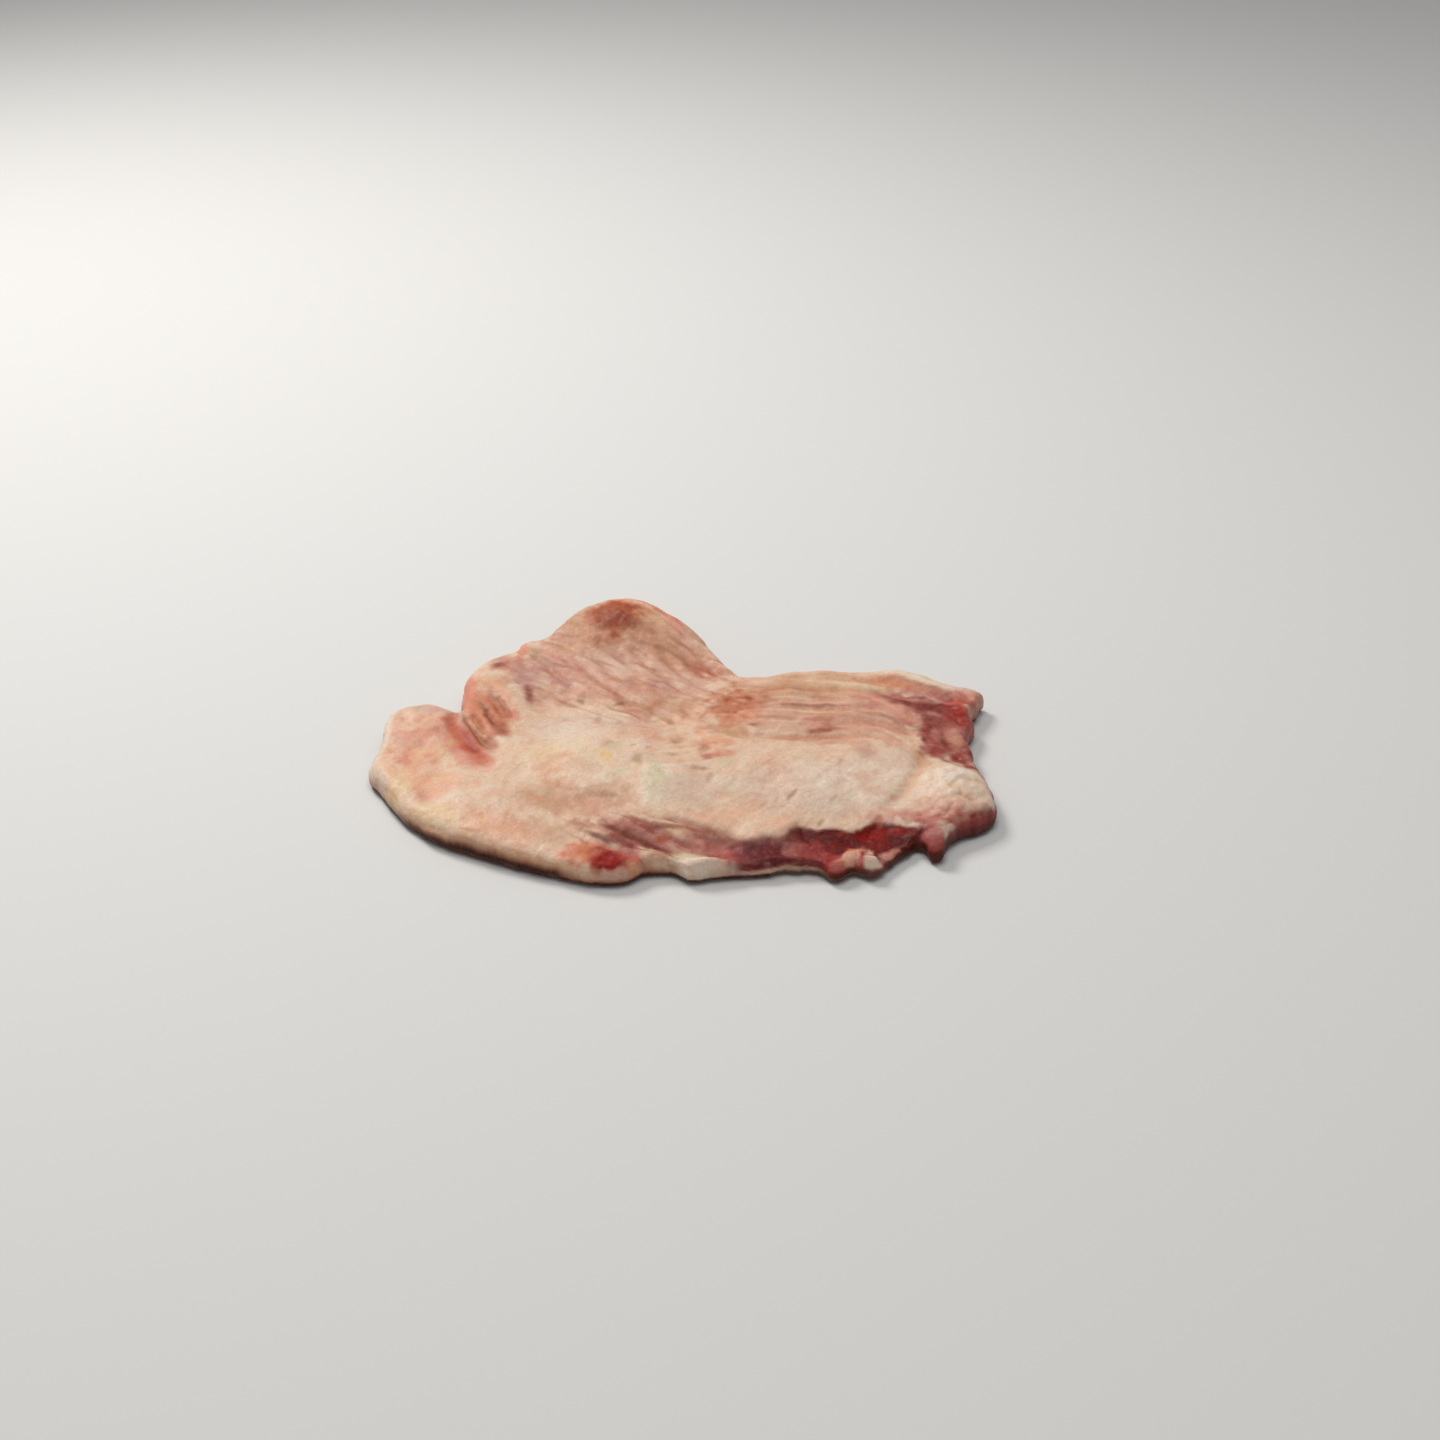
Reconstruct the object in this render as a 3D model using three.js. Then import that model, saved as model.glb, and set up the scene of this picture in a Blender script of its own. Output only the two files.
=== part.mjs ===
// Raw pork jowl: one trimmed flat piece of marbled meat that lies on its lean side with its fat side up.
// Units are millimetres and +Z is up. The origin is on the resting plane, under the middle of the piece.
// +X runs along the piece to its square end, and +Y runs across it to the end of the long flap.
import * as THREE from "three";

// Thicknesses and edge
const SLAB_THICKNESS = 8.2; // of the plain slab, away from its mounds
const RIM_HEIGHT = 2.7; // of the outermost line of the edge above the resting plane
const CRISP_EDGE = 3.4; // distance in from the outline over which the upper face rises at the cuts
const EDGE_ROUNDING = 5; // the same on average, by which the mesh is spread
const FOOT_ROUNDING = 3.2; // distance in from the outline over which the under face comes down
const EDGE_FULLNESS = 2.4; // 2 makes the rounded edge a quarter circle, and more makes it squarer
const LEAST_THICKNESS = 1.4; // left under the deepest crease

// Mesh
const GRID_STEP = 2.42; // between vertices, seen from above
const OUTLINE_SAMPLES = 520;
const PATH_SAMPLES = 16; // along one crease
const RELAX_ROUNDS = 12;
const RELAX_BAND = 3 * GRID_STEP; // from the outline, where the grid bends to follow it
const GRID_JITTER = 0.12 * GRID_STEP;
const ARC_STRETCH = 1.35; // an edge's arc length over its radius, so that its vertices are evenly spread

// Outline seen from above, counter-clockwise from the tip of the round lobe
const OUTLINE = [
  [-108.6, -24], [-104, -32], [-98.5, -41], [-92, -50.5], [-82, -60], [-68, -67.5], [-52, -75],
  [-37, -80.5], [-25, -83.5], [-18, -82.5], [-11, -78], [-3, -78], [3, -81.4], [12, -79.8],
  [22, -79], [33, -77], [43, -77.5], [49, -81.8], [55.5, -77.6], [61.5, -79], [65, -75],
  [71, -70.5], [75.5, -65], [78.5, -65], [80.5, -70.2], [84, -70], [86, -64], [90.5, -59],
  [98.5, -54.8], [104.2, -49.4], [105, -40], [102, -26], [100.5, -12], [100.6, -3], [103.3, 4],
  [103, 11], [106, 18], [108.6, 26], [98, 31], [88, 37.8], [78, 42.2], [66, 41.6], [50, 42.2],
  [38, 41.8], [28, 38], [21, 39], [16, 45.4], [11, 55.4], [5, 65.2], [-3, 74], [-11.5, 82.2],
  [-20, 87.4], [-31, 86.4], [-40, 80.6], [-47, 73.2], [-54, 66.4], [-60, 64.4], [-64.5, 62.4],
  [-66.3, 56.6], [-72.2, 53], [-78.4, 45.4], [-82.2, 35.4], [-81.8, 24], [-81.8, 13], [-85.5, 15],
  [-92.5, 19.2], [-100, 17.8], [-106, 12.4], [-107.3, 2], [-107, -13],
];

// Rounded rises of the upper face: centre, half lengths along and across, turn in degrees, height
const MOUNDS = [
  { name: "fat body", at: [-8, -28], reach: [92, 46], turn: 2, rise: 4.4 },
  { name: "front left shoulder", at: [-62, -50], reach: [42, 22], turn: -28, rise: 2.4 },
  { name: "round lobe", at: [-95, -8], reach: [17, 30], turn: 0, rise: 1.6 },
  { name: "pleated shoulder", at: [-67, 28], reach: [18, 36], turn: 14, rise: 2.2 },
  { name: "flap crest", at: [-24, 78], reach: [36, 22], turn: -6, rise: 2.6 },
  { name: "back band", at: [62, 22], reach: [58, 24], turn: -4, rise: 1.2 },
  { name: "corner lump", at: [91, -38], reach: [17, 23], turn: 8, rise: 4.6 },
  { name: "fat pad", at: [42, -34], reach: [36, 26], turn: 0, rise: 1.6 },
  { name: "tag of fat", at: [60.3, -76], reach: [4, 5.5], turn: 10, rise: 2.4 },
  { name: "long tag", at: [52.5, -75.5], reach: [3.6, 8], turn: -26, rise: 2.2 },
  { name: "lean tag", at: [82, -66], reach: [4.5, 8], turn: 0, rise: 2.2 },
  { name: "strip of fat on the front edge", at: [10, -79], reach: [14, 5.5], turn: 2, rise: 2.4 },
  { name: "second strip", at: [36, -76], reach: [15, 4.5], turn: -2, rise: 1.6 },
  { name: "rolled rim of the back band", at: [86, 35], reach: [25, 7], turn: -22, rise: 0.8 },
];

// Places where the piece stands clear of the resting plane, like a cloth with a soft fold
const LIFTS = [
  { name: "arched flap", at: [-25, 73], reach: [52, 28], turn: -6, rise: 6.6 },
  { name: "curled back corner", at: [109, 30], reach: [20, 13], turn: -30, rise: 0.8 },
  { name: "lifted lobe edge", at: [-109, 4], reach: [9, 24], turn: 0, rise: 1.6 },
];

// Where the edge is fuller than at the cuts, and by how much its radius is larger
const FULL_EDGES = [
  { name: "fat side at the front left", at: [-62, -66], reach: [90, 40], turn: -28, rise: 3 },
  { name: "corner lump", at: [98, -46], reach: [28, 26], turn: 0, rise: 2.2 },
];

// Single creases of the upper face: the line that each follows, half width and depth
const CREASES = [
  {
    name: "beside the corner lump",
    path: [[84, -12], [80, -26], [75, -38], [66, -52]],
    width: 2.6,
    depth: 1.5,
  },
  {
    name: "beside the round lobe",
    path: [[-84.5, 9], [-81, -1], [-76.5, -9.5], [-71, -18.5], [-66, -28]],
    width: 3,
    depth: 1.5,
  },
  { name: "hollow of the fat body", path: [[-60, -34], [-38, -44], [-12, -48]], width: 8, depth: 0.9 },
  { name: "dip behind the fat body", path: [[-30, 12], [-4, 4], [18, -4], [50, -10]], width: 7, depth: 1.1 },
];

// Sets of creases that run side by side between a first and a last line: muscle bundles and pleats
const FANS = [
  {
    name: "pleats of the shoulder",
    first: [[-80.2, 11], [-76.6, 2], [-72.3, -7], [-67.5, -14.5]],
    last: [[-69.5, 24], [-66, 18], [-62.8, 11], [-61, 3]],
    count: 5,
    width: 1.5,
    depth: 1.4,
  },
  {
    name: "fibres of the flap",
    first: [[-58, 60], [-51, 46], [-42, 32], [-30, 22]],
    last: [[-4, 67], [3, 56], [9, 45], [17, 34]],
    count: 8,
    width: 1.8,
    depth: 0.9,
  },
  {
    name: "fibres of the back band",
    first: [[20, 36], [50, 36], [76, 33], [98, 17]],
    last: [[12, -4], [42, -5], [66, -3], [82, -12]],
    count: 6,
    width: 2,
    depth: 1.1,
  },
  {
    name: "fibres of the front edge",
    first: [[-34, -63], [-25, -68], [-16, -74], [-8, -77]],
    last: [[-6, -56], [4, -60], [14, -66], [22, -74]],
    count: 4,
    width: 1.8,
    depth: 1.1,
  },
];

// Shares of a fan's gap, length and depth by which its creases differ
const FAN_UNEVENNESS = { gap: 0.7, end: 0.3, depth: 0.5 };

// The fat layer ends along a ragged line at the front, where the face slopes down to the bare lean
const LEDGE = {
  path: [
    [-14, -60], [6, -63], [16, -65.5], [24, -68.5], [31, -67], [36, -62.5],
    [46, -61], [56, -61], [61, -58.5], [68, -57.5], [75, -61], [88, -58],
  ],
  drop: 2.6,
  softness: 9,
  fades: [32, 12], // at its left and right ends
  rag: { length: 9, reach: 0.9 },
};

// Slow random swelling of the whole upper face
const SWELLINGS = [
  { length: 44, rise: 0.7 },
  { length: 19, rise: 0.4 },
  { length: 10, rise: 0.16 },
];
const WAVES = 6; // in each swelling
const WAVE_UNEVENNESS = 0.6; // share by which the waves of one swelling differ in length
const GOLDEN_ANGLE = Math.PI * (3 - Math.sqrt(5));

const smoothstep = (low, high, value) => {
  const t = Math.min(Math.max((value - low) / (high - low), 0), 1);
  return t * t * (3 - 2 * t);
};

// A repeatable number from 0 to 1 for a pair of whole numbers.
function scatter(i, j) {
  const wave = Math.sin(i * 127.1 + j * 311.7) * 43758.5453;
  return wave - Math.floor(wave);
}

// Smooth heights, mostly from -1 to 1: the sum of waves about one length long that run in all directions.
function swelling(x, y, length) {
  let sum = 0;
  for (let k = 0; k < WAVES; k += 1) {
    const angle = k * GOLDEN_ANGLE + length;
    const ownLength = length * (1 + WAVE_UNEVENNESS * scatter(k, length));
    const way = x * Math.cos(angle) + y * Math.sin(angle);
    sum += Math.sin(2 * Math.PI * (way / ownLength + scatter(length, k)));
  }
  return sum / Math.sqrt(2 * WAVES);
}

// The height of one mound at a point: (1 - r^2)^2 of its rise, with r the share of its reach.
function moundHeight({ at, reach, turn, rise }, x, y) {
  const angle = THREE.MathUtils.degToRad(turn);
  const along = (x - at[0]) * Math.cos(angle) + (y - at[1]) * Math.sin(angle);
  const across = (y - at[1]) * Math.cos(angle) - (x - at[0]) * Math.sin(angle);
  const r2 = (along / reach[0]) ** 2 + (across / reach[1]) ** 2;
  return r2 < 1 ? rise * (1 - r2) ** 2 : 0;
}

// A smooth line through flat points, as flat points.
function smoothLine(points, closed, samples) {
  const curve = new THREE.CatmullRomCurve3(
    points.map(([x, y]) => new THREE.Vector3(x, y, 0)),
    closed,
  );
  const line = curve.getSpacedPoints(samples).map((p) => new THREE.Vector2(p.x, p.y));
  return closed ? line.slice(0, -1) : line;
}

// The nearest place on a line: its distance, the point, the side (1 to the left) and the share of the way.
function nearestOnLine(line, closed, x, y) {
  const best = { distance: Infinity };
  const steps = closed ? line.length : line.length - 1;
  for (let k = 0; k < steps; k += 1) {
    const a = line[k];
    const b = line[(k + 1) % line.length];
    const dx = b.x - a.x;
    const dy = b.y - a.y;
    const t = Math.min(Math.max(((x - a.x) * dx + (y - a.y) * dy) / (dx * dx + dy * dy), 0), 1);
    const px = a.x + t * dx;
    const py = a.y + t * dy;
    const distance = Math.hypot(x - px, y - py);
    if (distance < best.distance) {
      const side = Math.sign(dx * (y - a.y) - dy * (x - a.x));
      Object.assign(best, { distance, px, py, side, along: (k + t) / steps });
    }
  }
  return best;
}

// A fan's creases, between its first and last lines, with uneven gaps, lengths and depths.
function creasesOfFan({ first, last, count, width, depth }) {
  return Array.from({ length: count }, (_, k) => {
    const share = (k + FAN_UNEVENNESS.gap * (scatter(k, count) - 0.5)) / (count - 1);
    const path = first.map(([x, y], n) => [x + (last[n][0] - x) * share, y + (last[n][1] - y) * share]);
    const from = FAN_UNEVENNESS.end * scatter(count, k);
    const to = 1 - FAN_UNEVENNESS.end * scatter(count, k + count);
    return { path, width, depth: depth * (1 - FAN_UNEVENNESS.depth * scatter(k, k)), from, to };
  });
}

const edge = smoothLine(OUTLINE, true, OUTLINE_SAMPLES);
const creases = [...CREASES, ...FANS.flatMap(creasesOfFan)].map((crease) => ({
  ...crease,
  line: smoothLine(crease.path, false, PATH_SAMPLES),
}));
const ledgeLine = smoothLine(LEDGE.path, false, PATH_SAMPLES * 3);

// The depth of one crease at a point: a bell across its line that fades out at both ends.
function creaseDepth({ line, width, depth, from = 0, to = 1 }, x, y) {
  const { distance, along } = nearestOnLine(line, false, x, y);
  const share = Math.min(Math.max((along - from) / (to - from), 0), 1);
  return depth * Math.sqrt(Math.sin(Math.PI * share)) * Math.exp(-((distance / width) ** 2));
}

// How far the end of the fat layer lowers the face in front of it.
function ledgeDrop(x, y) {
  const { distance, side } = nearestOnLine(ledgeLine, false, x, y);
  const gap = LEDGE.rag.reach * swelling(x, y, LEDGE.rag.length) - side * distance;
  const inFront = smoothstep(-LEDGE.softness / 2, LEDGE.softness / 2, gap);
  const [start, end] = [LEDGE.path[0][0], LEDGE.path.at(-1)[0]];
  const afterStart = smoothstep(start, start + LEDGE.fades[0], x);
  const beforeEnd = 1 - smoothstep(end - LEDGE.fades[1], end, x);
  return LEDGE.drop * inFront * afterStart * beforeEnd;
}

// The share of full height that a rounded edge of this radius has reached at a distance in from the outline.
function roundedRise(inset, radius) {
  const left = 1 - Math.min(Math.max(inset / radius, 0), 1);
  return (1 - left ** EDGE_FULLNESS) ** (1 / EDGE_FULLNESS);
}

// How far in from the outline the upper face rises: crisp at the cuts, and full where the fat rolls over.
function edgeRadius(x, y) {
  return FULL_EDGES.reduce((radius, fuller) => radius + moundHeight(fuller, x, y), CRISP_EDGE);
}

function liftAt(x, y) {
  return LIFTS.reduce((height, lift) => Math.max(height, moundHeight(lift, x, y)), 0);
}

function upperHeight(x, y, inset) {
  let thickness = SLAB_THICKNESS;
  MOUNDS.forEach((mound) => (thickness += moundHeight(mound, x, y)));
  SWELLINGS.forEach(({ length, rise }) => (thickness += rise * swelling(x, y, length)));
  thickness -= ledgeDrop(x, y);
  creases.forEach((crease) => (thickness -= creaseDepth(crease, x, y)));
  const body = Math.max(thickness - RIM_HEIGHT, LEAST_THICKNESS);
  return liftAt(x, y) + RIM_HEIGHT + body * roundedRise(inset, edgeRadius(x, y));
}

function underHeight(x, y, inset) {
  return liftAt(x, y) + RIM_HEIGHT * (1 - roundedRise(inset, FOOT_ROUNDING));
}

// A square grid seen from above, cut along the outline: rows of nodes, with the cells that are kept.
function makeGrid() {
  const xs = edge.map((p) => p.x);
  const ys = edge.map((p) => p.y);
  const [left, bottom] = [Math.min(...xs) - GRID_STEP, Math.min(...ys) - GRID_STEP];
  const columns = Math.ceil((Math.max(...xs) - left) / GRID_STEP) + 1;
  const rows = Math.ceil((Math.max(...ys) - bottom) / GRID_STEP) + 1;
  const insideAt = (x, y) => nearestOnLine(edge, true, x, y).side > 0;
  const isCell = (i, j) =>
    i >= 0 && j >= 0 && i < columns && j < rows &&
    insideAt(left + (i + 0.5) * GRID_STEP, bottom + (j + 0.5) * GRID_STEP);
  const keptInColumn = (_, i) => Array.from({ length: rows }, (_, j) => isCell(i, j));
  const kept = Array.from({ length: columns }, keptInColumn);
  const cellAt = (i, j) => Boolean(kept[i]?.[j]);
  const nodes = new Map();
  for (let i = 0; i <= columns; i += 1) {
    for (let j = 0; j <= rows; j += 1) {
      const around = [cellAt(i - 1, j - 1), cellAt(i, j - 1), cellAt(i - 1, j), cellAt(i, j)];
      if (!around.some(Boolean)) continue;
      const onEdge = !around.every(Boolean);
      const jitter = onEdge ? 0 : GRID_JITTER;
      const x = left + i * GRID_STEP + jitter * (scatter(i, j) - 0.5);
      const y = bottom + j * GRID_STEP + jitter * (scatter(j, i) - 0.5);
      nodes.set(`${i},${j}`, { i, j, x, y, onEdge });
    }
  }
  return { nodes, cellAt, columns, rows };
}

// Moves the grid's edge nodes onto the outline, and spreads the nodes near it evenly.
function fitToOutline({ nodes }) {
  const ontoOutline = (node) => {
    const { px, py } = nearestOnLine(edge, true, node.x, node.y);
    Object.assign(node, { x: px, y: py });
  };
  const all = [...nodes.values()];
  const banded = all.filter((node) => nearestOnLine(edge, true, node.x, node.y).distance < RELAX_BAND);
  all.filter((node) => node.onEdge).forEach(ontoOutline);
  for (let round = 0; round < RELAX_ROUNDS; round += 1) {
    const moves = banded.map(({ i, j, onEdge }) => {
      const near = [[i - 1, j], [i + 1, j], [i, j - 1], [i, j + 1]]
        .map(([a, b]) => nodes.get(`${a},${b}`))
        .filter((other) => other && (!onEdge || other.onEdge));
      const meanOf = (axis) => near.reduce((sum, other) => sum + other[axis], 0) / near.length;
      return [meanOf("x"), meanOf("y")];
    });
    banded.forEach((node, n) => {
      node.x += 0.5 * (moves[n][0] - node.x);
      node.y += 0.5 * (moves[n][1] - node.y);
    });
    banded.filter((node) => node.onEdge).forEach(ontoOutline);
  }
}

// Where a node of one face lies: nodes near the outline move out along a quarter circle, for a round edge.
function placeOnFace(node, rounding) {
  const { distance, px, py } = nearestOnLine(edge, true, node.x, node.y);
  if (node.onEdge || distance < 1e-9) return { x: px, y: py, inset: 0 };
  const band = rounding * ARC_STRETCH;
  const onArc = rounding * (1 - Math.cos((Math.PI / 2) * Math.min(distance / band, 1)));
  const beyond = distance - (band - rounding) * (1 - smoothstep(band, 3 * band, distance));
  const inset = distance < band ? onArc : beyond;
  const share = inset / distance;
  return { x: px + (node.x - px) * share, y: py + (node.y - py) * share, inset };
}

// The cells whose under face is flat on the resting plane, with no two that touch only at a corner.
function flatCells({ cellAt, columns, rows }, isFlatNode) {
  const flat = new Set();
  for (let i = 0; i < columns; i += 1) {
    for (let j = 0; j < rows; j += 1) {
      const corners = [[i, j], [i + 1, j], [i + 1, j + 1], [i, j + 1]];
      if (cellAt(i, j) && corners.every(([a, b]) => isFlatNode(a, b))) flat.add(`${i},${j}`);
    }
  }
  const has = (i, j) => flat.has(`${i},${j}`);
  for (let i = 1; i < columns; i += 1) {
    for (let j = 1; j < rows; j += 1) {
      const [sw, se, nw, ne] = [has(i - 1, j - 1), has(i, j - 1), has(i - 1, j), has(i, j)];
      if (sw && ne && !se && !nw) flat.delete(`${i},${j}`);
      if (se && nw && !sw && !ne) flat.delete(`${i},${j - 1}`);
    }
  }
  return flat;
}

// The closed loops of node keys round a set of cells, each with the cells on its left.
function loopsRound(cells) {
  const next = new Map();
  cells.forEach((key) => {
    const [i, j] = key.split(",").map(Number);
    const sides = [
      [[i, j], [i + 1, j], [i, j - 1]],
      [[i + 1, j], [i + 1, j + 1], [i + 1, j]],
      [[i + 1, j + 1], [i, j + 1], [i, j + 1]],
      [[i, j + 1], [i, j], [i - 1, j]],
    ];
    sides.forEach(([from, to, beyond]) => {
      if (!cells.has(beyond.join())) next.set(from.join(), to.join());
    });
  });
  const loops = [];
  while (next.size) {
    const loop = [];
    for (let key = next.keys().next().value; next.has(key); ) {
      loop.push(key);
      const after = next.get(key);
      next.delete(key);
      key = after;
    }
    loops.push(loop);
  }
  return loops.sort((a, b) => b.length - a.length);
}

// A cell's corners, started so that its first diagonal is the one that lies nearer to the upper face.
function alongTheFold(corners) {
  const x = corners.reduce((sum, corner) => sum + corner.topPoint.x, 0) / corners.length;
  const y = corners.reduce((sum, corner) => sum + corner.topPoint.y, 0) / corners.length;
  const middle = upperHeight(x, y, nearestOnLine(edge, true, x, y).distance);
  const gap = (p, q) => Math.abs((p.topPoint.z + q.topPoint.z) / 2 - middle);
  const [a, b, c, d] = corners;
  return gap(a, c) <= gap(b, d) ? corners : [b, c, d, a];
}

// The closed surface: both faces on one grid that meet at the outline, and one flat foot under the middle.
function jowlGeometry() {
  const grid = makeGrid();
  fitToOutline(grid);
  const positions = [];
  const faces = [];
  const addVertex = (x, y, z) => positions.push(x, y, z) / 3 - 1;
  grid.nodes.forEach((node) => {
    const top = placeOnFace(node, EDGE_ROUNDING);
    node.topPoint = new THREE.Vector3(top.x, top.y, upperHeight(top.x, top.y, top.inset));
    node.top = addVertex(...node.topPoint);
    if (node.onEdge) {
      node.foot = node.top;
      return;
    }
    const foot = placeOnFace(node, FOOT_ROUNDING);
    const height = underHeight(foot.x, foot.y, foot.inset);
    node.flat = height < 1e-6;
    node.foot = addVertex(foot.x, foot.y, node.flat ? 0 : height);
  });
  const flat = flatCells(grid, (i, j) => grid.nodes.get(`${i},${j}`)?.flat);
  for (let i = 0; i < grid.columns; i += 1) {
    for (let j = 0; j < grid.rows; j += 1) {
      if (!grid.cellAt(i, j)) continue;
      const keys = [[i, j], [i + 1, j], [i + 1, j + 1], [i, j + 1]];
      const [a, b, c, d] = alongTheFold(keys.map((key) => grid.nodes.get(key.join())));
      faces.push(a.top, b.top, c.top, a.top, c.top, d.top);
      if (!flat.has(`${i},${j}`)) faces.push(a.foot, c.foot, b.foot, a.foot, d.foot, c.foot);
    }
  }
  const loops = loopsRound(flat).map((loop) => loop.map((key) => grid.nodes.get(key).foot));
  const flatPoint = (k) => new THREE.Vector2(positions[3 * k], positions[3 * k + 1]);
  const [contour, ...holes] = loops.map((loop) => loop.map(flatPoint));
  const corners = loops.flat();
  THREE.ShapeUtils.triangulateShape(contour, holes).forEach(([a, b, c]) => {
    faces.push(corners[a], corners[c], corners[b]);
  });
  const geometry = new THREE.BufferGeometry();
  geometry.setAttribute("position", new THREE.Float32BufferAttribute(positions, 3));
  geometry.setIndex(faces);
  geometry.computeBoundingBox();
  const middle = geometry.boundingBox.getCenter(new THREE.Vector3());
  geometry.translate(-middle.x, -middle.y, 0);
  geometry.computeVertexNormals();
  return geometry;
}

const rawMeat = new THREE.MeshStandardMaterial({ color: "#d3a48a", roughness: 0.42, metalness: 0 });
const jowl = new THREE.Mesh(jowlGeometry(), rawMeat);
jowl.name = "pork_jowl";

const part = new THREE.Group();
part.add(jowl);

export default part;
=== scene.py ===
"""Raw pork jowl: one trimmed flat piece of marbled meat, fat side up, on a plain pale floor under soft light.

Sizes of the meat are drawing millimetres: +X runs to the square lean end, +Y to the tip of the long flap and
+Z up. The finished mesh is moved so that the origin lies under the middle of the piece, and is scaled to
metres. Sizes of the finish, the lamps, the floor and the camera are in metres.
"""

import logging
import math
from dataclasses import dataclass, field
from enum import Enum

import bpy
import numpy as np
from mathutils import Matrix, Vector


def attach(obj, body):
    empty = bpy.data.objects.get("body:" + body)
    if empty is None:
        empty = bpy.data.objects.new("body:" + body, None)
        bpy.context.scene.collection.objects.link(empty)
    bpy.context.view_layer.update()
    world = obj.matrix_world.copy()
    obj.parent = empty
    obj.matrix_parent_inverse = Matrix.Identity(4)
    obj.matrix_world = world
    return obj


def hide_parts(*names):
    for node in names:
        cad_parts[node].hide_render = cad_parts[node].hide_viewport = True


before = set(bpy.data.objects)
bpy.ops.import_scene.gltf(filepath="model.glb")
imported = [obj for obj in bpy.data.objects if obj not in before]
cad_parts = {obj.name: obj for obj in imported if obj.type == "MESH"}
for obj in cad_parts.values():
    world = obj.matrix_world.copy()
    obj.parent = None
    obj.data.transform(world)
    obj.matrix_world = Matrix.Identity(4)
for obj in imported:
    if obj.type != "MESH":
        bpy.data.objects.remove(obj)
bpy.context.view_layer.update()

log = logging.getLogger("pork_jowl")

Array = np.ndarray
Place = tuple[float, float]
Colour = tuple[int, int, int]
Socket = bpy.types.NodeSocket

MM = 0.001
BODY = "root"
NODE = "pork_jowl"
GOLDEN_ANGLE = math.pi * (3 - math.sqrt(5))
PATH_SAMPLES = 16


def smoothstep(low: Array | float, high: Array | float, value: Array) -> Array:
    """A soft step: 0 up to low, 1 from high on, and 3t^2 - 2t^3 between, with t the share of the way.

    Args:
        low: Where the step starts, for all or for each value. It may be above high, and the step then falls.
        high: Where the step ends.
        value: The values to step.

    Returns:
        Numbers from 0 to 1, one for each value.
    """
    t = np.clip((value - low) / (high - low), 0.0, 1.0)
    return t * t * (3 - 2 * t)


def scatter(i: Array | float, j: Array | float) -> Array:
    """A repeatable number from 0 to 1: the fraction of a large multiple of a sine.

    Args:
        i: The first number of a pair.
        j: The second number of a pair.

    Returns:
        Numbers from 0 to 1.
    """
    wave = np.sin(i * 127.1 + j * 311.7) * 43758.5453
    return wave - np.floor(wave)


def linear(colour: Colour) -> Array:
    """The scene-linear colour of an sRGB colour with channels from 0 to 255."""
    c = np.asarray(colour, dtype=float) / 255
    return np.where(c <= 0.04045, c / 12.92, ((c + 0.055) / 1.055) ** 2.4)


class GradientNoise:
    """Seeded gradient noise in space: smooth, mostly from -1 to 1, with features about one unit apart."""

    TABLE = 256  # how many random directions there are
    GAIN = 1.6  # brings the values near -1 and 1

    def __init__(self, seed: int) -> None:
        """Draws the table of random directions.

        Args:
            seed: Two noises of one seed are the same.
        """
        draw = np.random.default_rng(seed)
        self.order = draw.permutation(self.TABLE)
        ways = draw.normal(size=(self.TABLE, 3))
        self.ways = ways / np.linalg.norm(ways, axis=1, keepdims=True)

    def at(self, x: Array, y: Array, z: Array | float = 0.0) -> Array:
        """The noise at points: each lattice corner's direction times the way to it, blended by quintic steps.

        Args:
            x: Each point's X.
            y: Each point's Y.
            z: Each point's Z, or one height for all.

        Returns:
            One value for each point.
        """
        points = np.stack(np.broadcast_arrays(x, y, np.asarray(z, dtype=float)), axis=-1)
        cell = np.floor(points).astype(int)
        f = points - cell
        fade = f * f * f * (f * (f * 6 - 15) + 10)
        total = np.zeros(points.shape[:-1])
        for corner in np.ndindex(2, 2, 2):
            i, j, k = (cell[..., n] + corner[n] for n in range(3))
            slot = self.order[(self.order[(self.order[i % self.TABLE] + j) % self.TABLE] + k) % self.TABLE]
            reach = np.einsum("...n,...n->...", self.ways[slot], f - corner)
            share = np.prod(np.where(np.array(corner), fade, 1 - fade), axis=-1)
            total += reach * share
        return total * self.GAIN

    def layered(self, x: Array, y: Array, z: Array | float = 0.0, layers: int = 3) -> Array:
        """The sum of the noise at halving sizes and strengths.

        Args:
            x: Each point's X.
            y: Each point's Y.
            z: Each point's Z, or one height for all.
            layers: How many sizes are summed.

        Returns:
            One value for each point, mostly from -1 to 1.
        """
        sizes = 2.0 ** np.arange(layers)
        total = sum(self.at(x * s, y * s, np.asarray(z) * s + s) / s for s in sizes)
        return total / np.sqrt(np.sum(sizes ** -2.0))


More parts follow.
